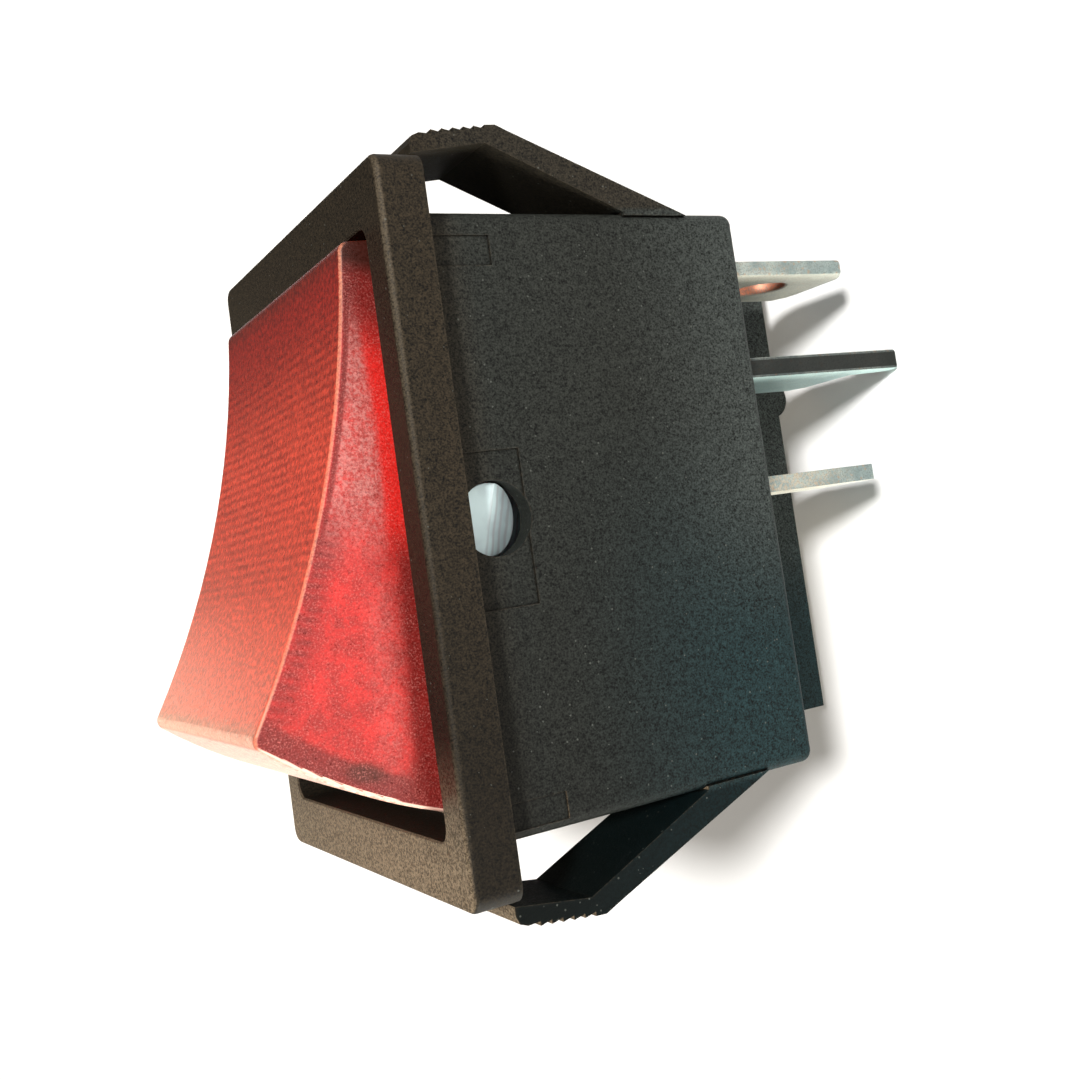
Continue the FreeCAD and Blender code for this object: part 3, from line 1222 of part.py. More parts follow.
check_and_export(make_all())
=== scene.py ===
import math

import bpy
from mathutils import Matrix, Vector

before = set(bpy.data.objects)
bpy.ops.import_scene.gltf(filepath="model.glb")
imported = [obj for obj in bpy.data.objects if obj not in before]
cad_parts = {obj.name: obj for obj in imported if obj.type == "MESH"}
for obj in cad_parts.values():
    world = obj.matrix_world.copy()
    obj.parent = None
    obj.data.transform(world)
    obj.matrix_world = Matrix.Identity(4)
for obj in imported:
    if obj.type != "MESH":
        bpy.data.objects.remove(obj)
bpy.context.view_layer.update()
print("frame loaded")

mm = 0.001


# Small helpers for shader trees


def newGroup(name, inputs, outputs):
    group = bpy.data.node_groups.new(name, "ShaderNodeTree")
    for socketName, kind, value in inputs:
        socket = group.interface.new_socket(name=socketName, in_out="INPUT", socket_type=kind)
        socket.default_value = value
    for socketName, kind in outputs:
        group.interface.new_socket(name=socketName, in_out="OUTPUT", socket_type=kind)
    return group, group.nodes.new("NodeGroupInput"), group.nodes.new("NodeGroupOutput")


def plug(tree, value, socket):
    # a number or colour is set, an output is linked
    if isinstance(value, (int, float)):
        socket.default_value = value
    elif isinstance(value, tuple):
        socket.default_value = (*value, 1)
    else:
        tree.links.new(value, socket)


def addMath(tree, operation, first, second=0.0, clamp=False):
    node = tree.nodes.new("ShaderNodeMath")
    node.operation = operation
    node.use_clamp = clamp
    plug(tree, first, node.inputs[0])
    plug(tree, second, node.inputs[1])
    return node.outputs[0]


def times(tree, *values):
    result = values[0]
    for value in values[1:]:
        result = addMath(tree, "MULTIPLY", result, value)
    return result


def plus(tree, first, second):
    return addMath(tree, "ADD", first, second)


def minus(tree, first, second):
    return addMath(tree, "SUBTRACT", first, second)


def sizeOf(tree, value):
    return addMath(tree, "ABSOLUTE", value)


def distance(tree, first, second):
    return addMath(tree, "SQRT", plus(tree, times(tree, first, first), times(tree, second, second)))


def addRange(tree, value, low, high, newLow=0.0, newHigh=1.0, smooth=False):
    node = tree.nodes.new("ShaderNodeMapRange")
    if smooth:
        node.interpolation_type = "SMOOTHSTEP"
    numbers = {"Value": value, "From Min": low, "From Max": high, "To Min": newLow, "To Max": newHigh}
    for name, number in numbers.items():
        plug(tree, number, node.inputs[name])
    return node.outputs["Result"]


def softStep(tree, value, reach, newLow=0.0, newHigh=1.0):
    # a soft change between two places in mm
    return addRange(tree, value, reach[0] * mm, reach[1] * mm, newLow, newHigh, smooth=True)


def evenStep(tree, value, reach, newLow=0.0, newHigh=1.0):
    # an even change between two places in mm
    return addRange(tree, value, reach[0] * mm, reach[1] * mm, newLow, newHigh)


def addNoise(tree, place, scale, detail, roughness):
    # most of its values lie between 0.35 and 0.65, so a range inside that sets the contrast
    node = tree.nodes.new("ShaderNodeTexNoise")
    tree.links.new(place, node.inputs["Vector"])
    plug(tree, scale, node.inputs["Scale"])
    node.inputs["Detail"].default_value = detail
    node.inputs["Roughness"].default_value = roughness
    return node.outputs["Fac"]


def objectPlace(tree):
    return tree.nodes.new("ShaderNodeTexCoord").outputs["Object"]


def splitAxes(tree, vector):
    node = tree.nodes.new("ShaderNodeSeparateXYZ")
    tree.links.new(vector, node.inputs[0])
    return node.outputs


def mixColours(tree, mask, low, high, blend="MIX"):
    # low where the mask is 0, high where it is 1
    node = tree.nodes.new("ShaderNodeMix")
    node.data_type = "RGBA"
    node.blend_type = blend
    plug(tree, mask, node.inputs["Factor"])
    for key, value in (("A", low), ("B", high)):
        socket = [s for s in node.inputs if s.name == key and s.type == "RGBA"][0]
        plug(tree, value, socket)
    return [s for s in node.outputs if s.type == "RGBA"][0]


def shadeColour(tree, mask, colour, value):
    # darkens or lightens a colour by a value that changes over the surface
    grey = tree.nodes.new("ShaderNodeCombineColor")
    for channel in range(3):
        tree.links.new(value, grey.inputs[channel])
    return mixColours(tree, mask, colour, grey.outputs[0], "MULTIPLY")


def newMaterial(name):
    material = bpy.data.materials.new(name)
    material.use_nodes = True
    tree = material.node_tree
    return material, tree, tree.nodes["Principled BSDF"]


def addGroup(tree, group, **values):
    node = tree.nodes.new("ShaderNodeGroup")
    node.node_tree = group
    for key, value in values.items():
        plug(tree, value, node.inputs[key.replace("_", " ")])
    return node.outputs


def addBump(tree, shader, height, strength, depth):
    bump = tree.nodes.new("ShaderNodeBump")
    bump.inputs["Strength"].default_value = strength
    bump.inputs["Distance"].default_value = depth * mm
    tree.links.new(height, bump.inputs["Height"])
    tree.links.new(bump.outputs["Normal"], shader.inputs["Normal"])


def addRoughness(tree, shader, grain, reach):
    tree.links.new(addRange(tree, grain["Height"], 0.35, 0.65, *reach), shader.inputs["Roughness"])


def dress(material, *nodes):
    for node in nodes:
        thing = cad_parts[node]
        thing.data.materials.clear()
        thing.data.materials.append(material)


# Camera, lights and stage

cameraSettings = {
    "place": (60.33, -1.75, 21.87),  # mm, in the part's frame
    "looksAlong": (-0.8528, 0.0637, -0.5183),
    "upward": (0.1291, 0.9874, -0.0910),
    "lens": 42.85,  # mm
    "shiftX": -0.0733,
    "shiftY": -0.0750,
    "sensor": 36,  # mm
    "nearest": 1,  # mm
    "furthest": 50000,  # mm
}


def addCamera(settings):
    data = bpy.data.cameras.new("camera")
    data.lens = settings["lens"]
    data.sensor_width = settings["sensor"]
    data.shift_x = settings["shiftX"]
    data.shift_y = settings["shiftY"]
    data.clip_start = settings["nearest"] * mm
    data.clip_end = settings["furthest"] * mm
    camera = bpy.data.objects.new("camera", data)
    bpy.context.collection.objects.link(camera)
    forward = Vector(settings["looksAlong"]).normalized()
    right = forward.cross(Vector(settings["upward"])).normalized()
    upward = right.cross(forward)
    turn = Matrix((right, upward, -forward)).transposed()
    camera.matrix_world = Matrix.Translation(Vector(settings["place"]) * mm) @ turn.to_4x4()
    bpy.context.scene.camera = camera


def turnTowards(lamp, direction):
    lamp.rotation_euler = Vector(direction).to_track_quat("-Z", "Y").to_euler()


sunSettings = {
    "from": (0.70, 0.22, 0.68),
    "power": 4.6,
    "spread": 8,  # degrees
    "colour": (1.0, 0.985, 0.96),
}

lampTarget = (0, 0, -5)  # mm

lampSettings = [
    # name, place in mm, width and height in mm, watts, colour
    ("warmLight", (-190, -30, 58), (110, 80), 0.105, (1.0, 0.82, 0.60)),
    ("underLight", (40, -190, -14), (90, 20), 0.50, (1.0, 0.98, 0.90)),
]


def addLights(sun, rows):
    data = bpy.data.lights.new("keyLight", "SUN")
    data.energy = sun["power"]
    data.angle = math.radians(sun["spread"])
    data.color = sun["colour"]
    lamp = bpy.data.objects.new("keyLight", data)
    bpy.context.collection.objects.link(lamp)
    turnTowards(lamp, -Vector(sun["from"]))
    for name, place, (width, height), power, colour in rows:
        data = bpy.data.lights.new(name, "AREA")
        data.shape = "RECTANGLE"
        data.size = width * mm
        data.size_y = height * mm
        data.energy = power
        data.color = colour
        lamp = bpy.data.objects.new(name, data)
        bpy.context.collection.objects.link(lamp)
        lamp.location = Vector(place) * mm
        turnTowards(lamp, Vector(lampTarget) * mm - lamp.location)


stageSettings = {
    "height": -27.62,  # mm, just under the blade tips
    "reach": 6000,  # mm
    "colour": (0.92, 0.92, 0.92),
    "nearSky": 0.30,  # light from the camera's side
    "farSky": 0.09,  # light from behind the rocker
    "skyTurn": (-0.7, 0.5),  # how far along X one fades into the other
    "roughness": 0.9,
    "specular": 0.1,
}


def addStage(settings):
    reach = settings["reach"] * mm
    height = settings["height"] * mm
    mesh = bpy.data.meshes.new("floor")
    corners = [(x * reach, y * reach, height) for x, y in ((-1, -1), (1, -1), (1, 1), (-1, 1))]
    mesh.from_pydata(corners, [], [(0, 1, 2, 3)])
    floor = bpy.data.objects.new("floor", mesh)
    bpy.context.collection.objects.link(floor)
    material = bpy.data.materials.new("floorPaint")
    material.use_nodes = True
    shader = material.node_tree.nodes["Principled BSDF"]
    shader.inputs["Base Color"].default_value = (*settings["colour"], 1)
    shader.inputs["Roughness"].default_value = settings["roughness"]
    shader.inputs["Specular IOR Level"].default_value = settings["specular"]
    mesh.materials.append(material)


def addSky(settings):
    world = bpy.data.worlds.new("studio")
    world.use_nodes = True
    tree = world.node_tree
    background = tree.nodes["Background"]
    background.inputs["Color"].default_value = (1, 1, 1, 1)
    place = tree.nodes.new("ShaderNodeTexCoord")
    split = splitAxes(tree, place.outputs["Generated"])
    light = addRange(tree, split["X"], *settings["skyTurn"], settings["farSky"], settings["nearSky"],
                     smooth=True)
    ray = tree.nodes.new("ShaderNodeLightPath")  # seen directly it is as pale as the floor
    strength = addMath(tree, "MAXIMUM", light, ray.outputs["Is Camera Ray"])
    tree.links.new(strength, background.inputs["Strength"])
    bpy.context.scene.world = world


addCamera(cameraSettings)
addLights(sunSettings, lampSettings)
addStage(stageSettings)
addSky(stageSettings)
bpy.context.scene.view_settings.view_transform = "Standard"
print("camera, lights and stage made")


# Effects that several materials share


def mouldGrainGroup():
    group, given, made = newGroup(
        "mouldGrain",
        [("Grain Scale", "NodeSocketFloat", 7000.0), ("Mottle Scale", "NodeSocketFloat", 1800.0),
         ("Cloud Scale", "NodeSocketFloat", 120.0)],
        [("Height", "NodeSocketFloat"), ("Mottle", "NodeSocketFloat"), ("Cloud", "NodeSocketFloat")],
    )
    place = objectPlace(group)
    fine = addNoise(group, place, given.outputs["Grain Scale"], 2.0, 0.65)
    mottle = addNoise(group, place, given.outputs["Mottle Scale"], 3.0, 0.7)
    height = plus(group, times(group, fine, 0.68), times(group, mottle, 0.32))
    group.links.new(height, made.inputs["Height"])
    group.links.new(addRange(group, mottle, 0.3, 0.7, smooth=True), made.inputs["Mottle"])
    cloud = addNoise(group, place, given.outputs["Cloud Scale"], 3.0, 0.55)
    group.links.new(addRange(group, cloud, 0.35, 0.65, smooth=True), made.inputs["Cloud"])
    return group


def speckGroup():
    # sparse round specks: only cells with a high random value get one
    group, given, made = newGroup(
        "specks",
        [("Scale", "NodeSocketFloat", 1200.0), ("Share", "NodeSocketFloat", 0.1),
         ("Width", "NodeSocketFloat", 0.18)],
        [("Mask", "NodeSocketFloat")],
    )
    cells = group.nodes.new("ShaderNodeTexVoronoi")
    group.links.new(objectPlace(group), cells.inputs["Vector"])
    group.links.new(given.outputs["Scale"], cells.inputs["Scale"])
    chance = splitAxes(group, cells.outputs["Color"])
    chosen = addMath(group, "LESS_THAN", chance[0], given.outputs["Share"])
    width = times(group, given.outputs["Width"], plus(group, chance[1], 0.35))
    spot = addMath(group, "LESS_THAN", cells.outputs["Distance"], width)
    group.links.new(times(group, spot, chosen), made.inputs["Mask"])
    return group


def edgeGroup():
    # sharp outer edges, broken up by a fine noise
    group, given, made = newGroup(
        "edgeRub",
        [("Width", "NodeSocketFloat", 0.0001), ("Break Scale", "NodeSocketFloat", 2500.0)],
        [("Mask", "NodeSocketFloat")],
    )
    bevel = group.nodes.new("ShaderNodeBevel")
    bevel.samples = 4
    group.links.new(given.outputs["Width"], bevel.inputs["Radius"])
    surface = group.nodes.new("ShaderNodeNewGeometry")
    dot = group.nodes.new("ShaderNodeVectorMath")
    dot.operation = "DOT_PRODUCT"
    group.links.new(bevel.outputs["Normal"], dot.inputs[0])
    group.links.new(surface.outputs["Normal"], dot.inputs[1])
    turned = addRange(group, dot.outputs["Value"], 0.995, 0.90)
    breaks = addNoise(group, objectPlace(group), given.outputs["Break Scale"], 3.0, 0.7)
    broken = addRange(group, breaks, 0.40, 0.62)
    group.links.new(addMath(group, "MULTIPLY", turned, broken, clamp=True), made.inputs["Mask"])
    return group


def addGrain(tree, settings):
    return addGroup(tree, mouldGrain, Grain_Scale=settings["grainScale"],
                    Mottle_Scale=settings["mottleScale"], Cloud_Scale=settings["cloudScale"])


mouldGrain = mouldGrainGroup()
specks = speckGroup()
edgeRub = edgeGroup()
print("shared effects made")


# Housing: black nylon with a fine moulded grain

housingSettings = {
    "dark": (0.0020, 0.0022, 0.0019),
    "light": (0.0260, 0.0280, 0.0240),
    # the next three tones are painted warm and cool light
    "brown": (0.0360, 0.0268, 0.0165),
    "teal": (0.0165, 0.0370, 0.0400),
    "pale": (0.0740, 0.0860, 0.0800),
    # painted shade and a painted teal sheen on the lower spring wings
    "black": (0.0010, 0.0024, 0.0022),
    "lowerWingSheen": (0.0040, 0.0120, 0.0135),
    # painted shade in grooves, then a painted warm glare, then painted highlight and wear on edges
    "groove": (0.0008, 0.0009, 0.0008),
    "warmGlareDark": (0.0700, 0.0500, 0.0300),
    "warmGlarePale": (0.3050, 0.2300, 0.1500),
    "litWornEdgeColour": (0.100, 0.078, 0.052),
    "speck": (0.16, 0.17, 0.15),
    "grainScale": 11500.0,
    "mottleScale": 5200.0,
    "cloudScale": 170.0,
    "sandScale": 8200.0,
    "speckScale": 6500.0,
    "rubScale": 6000.0,
    "grooveReach": 0.13,  # mm
    "rubWidth": 0.1,  # mm
    "bumpStrength": 0.9,
    "bumpDepth": 0.022,  # mm
    "roughness": (0.46, 0.70),
    "specular": 0.09,
    # how strong each change of colour is
    "greyAmount": 0.75,
    "upperWingAmount": 0.7,
    "lowerWingAmount": 0.95,
    "grooveAmount": 0.9,
    "litWornEdgeAmount": 0.8,
    "speckAmount": 0.30,
    "speckShare": 0.03,
    "speckWidth": 0.26,
    # where each change of colour begins and ends, in mm
    "brownFromZ": (-2.5, 0.5),
    "brownFadeY": (2, -12),
    "blueY": (6, -10),
    "blueZ": (-3, -14),
    "greyZ": (-8, -18),
    "greyY": (-8, 1),
    "flangeShadeZ": (-13, -7),
    "behindFlangeZ": (0.2, -0.8),
    "flangeShadeY": (-13, 12),
    "upperWingY": (13.45, 13.65),
    "lowerWingY": (-13.35, -13.55),
    "wingZ": (0.1, -0.3),
    "wingFadeZ": (-2, -13),
    "warmGlareY": (-8, -15),
    "warmGlareX": (-9, 6),
    "litEdgeY": (-4, 13),
}


def housingMaterial(settings):
    material, tree, shader = newMaterial("blackNylon")
    grain = addGrain(tree, settings)
    place = splitAxes(tree, objectPlace(tree))
    surface = tree.nodes.new("ShaderNodeNewGeometry")
    facing = splitAxes(tree, surface.outputs["Normal"])
    coarse = addRange(tree, grain["Height"], 0.36, 0.64)
    tone = mixColours(tree, coarse, settings["dark"], settings["light"])

    # painted light: a painted warm reflection browns the flange, darker towards the lower end, a painted
    # cool reflection tints the lower part of the box bluish and a painted highlight greys its upper rear
    warmLitTone = mixColours(tree, coarse, settings["dark"], settings["brown"])
    shaded = softStep(tree, place["Y"], settings["brownFadeY"], 0.0, 0.5)
    warmLitTone = mixColours(tree, shaded, warmLitTone, settings["dark"])
    tone = mixColours(tree, softStep(tree, place["Z"], settings["brownFromZ"]), tone, warmLitTone)
    coolLitTone = mixColours(tree, coarse, settings["dark"], settings["teal"])
    coolReflection = times(tree, softStep(tree, place["Y"], settings["blueY"]),
                  softStep(tree, place["Z"], settings["blueZ"]))
    tone = mixColours(tree, coolReflection, tone, coolLitTone)
    paleLitTone = mixColours(tree, coarse, settings["dark"], settings["pale"])
    paleHighlight = times(tree, softStep(tree, place["Z"], settings["greyZ"]),
                   softStep(tree, place["Y"], settings["greyY"]), settings["greyAmount"])
    tone = mixColours(tree, paleHighlight, tone, paleLitTone)

    # painted shade: near the flange the box is darker towards its lower end
    nearFlange = times(tree, evenStep(tree, place["Z"], settings["flangeShadeZ"]),
                       evenStep(tree, place["Z"], settings["behindFlangeZ"]))
    shade = evenStep(tree, place["Y"], settings["flangeShadeY"], 0.80, 1.22)
    tone = shadeColour(tree, nearFlange, tone, shade)

    # the upper spring wings are browned by the painted warm reflection, the lower ones kept black as painted
    # shade, with a painted teal sheen towards the rear
    behindFlange = evenStep(tree, place["Z"], settings["wingZ"])
    upperWing = times(tree, evenStep(tree, place["Y"], settings["upperWingY"]), behindFlange,
                      settings["upperWingAmount"])
    tone = mixColours(tree, upperWing, tone, warmLitTone)
    tealSheen = times(tree, evenStep(tree, place["Z"], settings["wingFadeZ"]), coarse)
    wingShadeTone = mixColours(tree, tealSheen, settings["black"], settings["lowerWingSheen"])
    lowerWing = times(tree, evenStep(tree, place["Y"], settings["lowerWingY"]), behindFlange,
                      settings["lowerWingAmount"])
    tone = mixColours(tree, lowerWing, tone, wingShadeTone)

    # painted shade darkens the steps of the moulded marks and other inner corners
    hollow = tree.nodes.new("ShaderNodeAmbientOcclusion")
    hollow.samples = 6
    hollow.inputs["Distance"].default_value = settings["grooveReach"] * mm
    recessShade = addRange(tree, hollow.outputs["AO"], 0.90, 0.62, 0.0, settings["grooveAmount"])
    tone = mixColours(tree, recessShade, tone, settings["groove"])

    # a painted warm glare lies on the lower end of the flange's front, least on its far side, broken by a
    # sandy grain
    front = addRange(tree, facing["Z"], 0.5, 0.9)
    sand = addNoise(tree, objectPlace(tree), settings["sandScale"], 2.0, 0.75)
    sand = addRange(tree, sand, 0.40, 0.62)
    warmGlareTone = mixColours(tree, sand, settings["warmGlareDark"], settings["warmGlarePale"])
    warmGlare = times(tree, front, softStep(tree, place["Y"], settings["warmGlareY"]),
                 evenStep(tree, place["X"], settings["warmGlareX"], 0.62, 0.84))
    tone = mixColours(tree, warmGlare, tone, warmGlareTone)

    # a painted highlight lies along the long front edges, and other corners are rubbed pale
    edge = times(tree, sizeOf(tree, facing["X"]), facing["Z"])
    litWornEdges = times(tree, addRange(tree, edge, 0.10, 0.40),
                 evenStep(tree, place["Y"], settings["litEdgeY"], 0.15, 1.0),
                 addRange(tree, grain["Height"], 0.38, 0.62, 0.25, 1.0))
    rub = addGroup(tree, edgeRub, Width=settings["rubWidth"] * mm, Break_Scale=settings["rubScale"])["Mask"]
    litWornEdges = addMath(tree, "MAXIMUM", litWornEdges, times(tree, rub, 0.35))
    tone = mixColours(tree, times(tree, litWornEdges, settings["litWornEdgeAmount"]), tone, settings["litWornEdgeColour"])

    # a few pale specks
    dots = addGroup(tree, specks, Scale=settings["speckScale"], Share=settings["speckShare"],
                    Width=settings["speckWidth"])["Mask"]
    tone = mixColours(tree, times(tree, dots, settings["speckAmount"]), tone, settings["speck"])
    tree.links.new(tone, shader.inputs["Base Color"])
    addRoughness(tree, shader, grain, settings["roughness"])
    shader.inputs["Specular IOR Level"].default_value = settings["specular"]
    addBump(tree, shader, grain["Height"], settings["bumpStrength"], settings["bumpDepth"])
    return material


dress(housingMaterial(housingSettings), "housing")
print("housing dressed")


# Rocker lens: red translucent polycarbonate, frosted by wear

lensSettings = {
    # shape, in mm and degrees
    "tilt": 17.25,  # how far the upper end is pressed in at rest
    "axisHeight": -1.75,
    "dishRadius": 48.054,
    "dishCentre": 55.204,
    "ridgePitch": 0.45,
    # colours of the front
    "frontTop": (0.290, 0.016, 0.009),
    "frontMiddle": (0.660, 0.074, 0.036),
    "frontLow": (0.650, 0.082, 0.044),
    "lipShade": (0.300, 0.130, 0.075),
    "lip": (0.900, 0.600, 0.470),
    "ridgeShade": (0.150, 0.010, 0.007),
    "edge": (0.700, 0.250, 0.140),
    "brown": (0.060, 0.016, 0.008),
    # colours of the side
    # glow and hot are painted light through the plastic, wall is painted shade
    "glow": (0.680, 0.030, 0.024),
    "hot": (0.800, 0.022, 0.016),
    "wall": (0.175, 0.014, 0.011),
    "frost": (0.600, 0.270, 0.240),
    "glint": (0.940, 0.330, 0.280),
    "dark": (0.062, 0.013, 0.008),
    # bands: from, to and how soft their borders are, in mm
    "ridgesAlong": (-4.5, 8.4, 2.2),
    "lipShadeAlong": (-12.5, -9.75, 0.3),
    "barsAlong": (-9.8, -1.0, 1.2),
    "barsDepth": (0.20, 1.15, 0.30),
    "hotAlong": (-1.5, 6.4, 1.2),
    "frostAlong": (-1.5, 7.2, 2.2),
    "rearFrostAlong": (-11.0, -3.4, 1.2),
    "rearFrostHeight": (0.25, 1.6, 0.5),
    "stripDepth": (0.16, 0.40, 0.06),
    # where the other changes of colour begin and end, in mm
    "topFade": (9.5, 1.5),
    "lowFade": (1.0, -8.5),
    "brownTop": (9.0, 10.7),
    "lipAlong": (-9.4, -9.9),
    "topWallAlong": (4.6, 8.6),
    "stripAlong": (-3.5, 0.0),
    "spot": (-11.0, 3.5),  # along and height of a dark spot
    "darkTop": (9.0, 10.0),
    "cornerAlong": (-7.5, -9.0),
    # slanted borders on the side: slope, and place at mid length
    "rootLine": (0.247, 4.05),
    "frostLine": (-0.25, 2.55),
    "endCurve": (0.0263, 11.1),  # the rounded lower end: bend and place
    # how strongly the walls show, one for each mask
    "cloudyWall": 0.35,
    "patchyWall": 0.42,
    "barredWall": 0.78,
    "lowWall": 0.95,
    "topWall": 0.85,
    "rootWall": 0.8,
    # how strong the other changes of colour are
    "brownTopAmount": 0.75,
    "lipShadeAmount": 0.6,
    "lipAmount": 0.95,
    "hotAmount": 0.85,
    "rearFrostAmount": 0.32,
    "stripAmount": 0.8,
    "spotAmount": 0.8,
    # finish
    "grainScale": 9500.0,
    "mottleScale": 6500.0,
    "cloudScale": 330.0,
    "streakScale": 4600.0,
    "patchScale": 1500.0,
    "sparkleScale": 12500.0,
    "bumpStrength": 0.6,
    "bumpDepth": 0.009,  # mm
    "roughness": (0.26, 0.46),
    "shadowTint": (0.75, 0.06, 0.04),
    "transmission": 0.22,
    "refraction": 1.5,
}


def lensPlaceGroup(settings):
    # in mm: Along grows towards the upper end, Depth from the dished front inwards
    outputs = [(name, "NodeSocketFloat") for name in ("Along", "Depth", "Height")]
    group, _, made = newGroup("lensPlace", [], outputs)
    axes = splitAxes(group, objectPlace(group))
    y = times(group, axes["Y"], 1 / mm)
    z = minus(group, times(group, axes["Z"], 1 / mm), settings["axisHeight"])
    cosine = math.cos(math.radians(settings["tilt"]))
    sine = math.sin(math.radians(settings["tilt"]))
    along = minus(group, times(group, y, cosine), times(group, z, sine))
    height = plus(group, times(group, y, sine), times(group, z, cosine))
    reach = distance(group, along, minus(group, height, settings["dishCentre"]))
    group.links.new(along, made.inputs["Along"])
    group.links.new(minus(group, reach, settings["dishRadius"]), made.inputs["Depth"])
    group.links.new(height, made.inputs["Height"])
    return group


def addBand(tree, value, low, high, soft):
    # 1 between low and high, with soft borders
    rise = addRange(tree, minus(tree, value, low), -soft, soft, smooth=True)
    fall = addRange(tree, minus(tree, value, high), soft, -soft, smooth=True)
    return times(tree, rise, fall)


def lensFront(tree, settings, along, flat, ridge, ridgeReach):
    # painted shade makes the front brownish at the pressed end; salmon at the raised one
    middle = addRange(tree, along, *settings["topFade"], smooth=True)
    front = mixColours(tree, middle, settings["frontTop"], settings["frontMiddle"])
    low = addRange(tree, along, *settings["lowFade"], smooth=True)
    front = mixColours(tree, low, front, settings["frontLow"])
    # the inner ridges show as lines of painted shade
    front = mixColours(tree, times(tree, ridge, ridgeReach), front, settings["ridgeShade"])
    # painted shade browns the pressed end next to the flange
    brownTop = addRange(tree, along, *settings["brownTop"], 0.0, settings["brownTopAmount"], smooth=True)
    front = mixColours(tree, brownTop, front, settings["brown"])
    # painted shade on the lower rounding, then a painted pale highlight on the lower lip
    lipShade = times(tree, addBand(tree, along, *settings["lipShadeAlong"]), settings["lipShadeAmount"])
    front = mixColours(tree, lipShade, front, settings["lipShade"])
    lip = times(tree, addRange(tree, sizeOf(tree, flat["Y"]), 0.50, 0.75),
                addRange(tree, along, *settings["lipAlong"]), settings["lipAmount"])
    return mixColours(tree, lip, front, settings["lip"])


def lensWalls(tree, settings, zone, phase, cloud, patches, rootLine):
    # painted light: the side glows red as if lit through, and painted shade darkens it where the walls look
    # darker than the hollow with the white carrier behind it
    along, depth, height = zone["Along"], zone["Depth"], zone["Height"]
    bend, lowest = settings["endCurve"]
    lowEnd = minus(tree, times(tree, height, height, bend), lowest)
    lowWall = addRange(tree, minus(tree, along, lowEnd), 0.25, -0.15, smooth=True)
    frontWall = addBand(tree, plus(tree, depth, times(tree, patches, 0.35)), *settings["barsDepth"])
    bars = addRange(tree, addMath(tree, "SINE", phase), -0.8, 0.8, 0.50, 1.0)
    rootLow = times(tree, addRange(tree, minus(tree, height, rootLine), 0.35, -0.25, smooth=True),
                    addRange(tree, along, 1.0, -2.5, smooth=True))
    masks = (
        addRange(tree, cloud, 0.1, 0.9, 0.0, settings["cloudyWall"]),
        times(tree, patches, settings["patchyWall"]),
        times(tree, frontWall, bars, addBand(tree, along, *settings["barsAlong"]),
              settings["barredWall"]),
        times(tree, lowWall, settings["lowWall"]),
        times(tree, addRange(tree, along, *settings["topWallAlong"], smooth=True), settings["topWall"]),
        times(tree, rootLow, settings["rootWall"]),
    )
    flank = settings["glow"]
    for mask in masks:
        flank = mixColours(tree, mask, flank, settings["wall"])
    return flank


def lensFrost(tree, settings, zone, grain, rootLine, flank):
    # a painted glow deep in the side, frosted patches nearer the front and above the root
    along, depth, height = zone["Along"], zone["Depth"], zone["Height"]
    slope, middle = settings["frostLine"]
    limit = plus(tree, times(tree, along, slope), middle)
    shallow = addRange(tree, minus(tree, depth, limit), 0.25, -0.25, smooth=True)
    hot = times(tree, minus(tree, 1.0, shallow), addBand(tree, along, *settings["hotAlong"]),
                settings["hotAmount"])
    flank = mixColours(tree, hot, flank, settings["hot"])
    upper = times(tree, shallow, addRange(tree, depth, 0.25, 0.45),
                  addBand(tree, along, *settings["frostAlong"]))
    rear = times(tree, addBand(tree, minus(tree, height, rootLine), *settings["rearFrostHeight"]),
                 addBand(tree, along, *settings["rearFrostAlong"]), settings["rearFrostAmount"])
    crystals = addRange(tree, grain["Mottle"], 0.25, 0.85, 0.12, 0.75)
    frosted = times(tree, addMath(tree, "MAXIMUM", upper, rear), crystals)
    flank = mixColours(tree, frosted, flank, settings["frost"])
    strip = times(tree, addBand(tree, depth, *settings["stripDepth"]),
                  addRange(tree, along, *settings["stripAlong"]), settings["stripAmount"])
    flank = mixColours(tree, strip, flank, settings["wall"])
    spotAlong, spotHeight = settings["spot"]
    spot = distance(tree, times(tree, minus(tree, along, spotAlong), 1.6),
                    times(tree, minus(tree, height, spotHeight), 0.75))
    spotted = addRange(tree, spot, 1.0, 0.3, 0.0, settings["spotAmount"], smooth=True)
    return mixColours(tree, spotted, flank, settings["brown"])


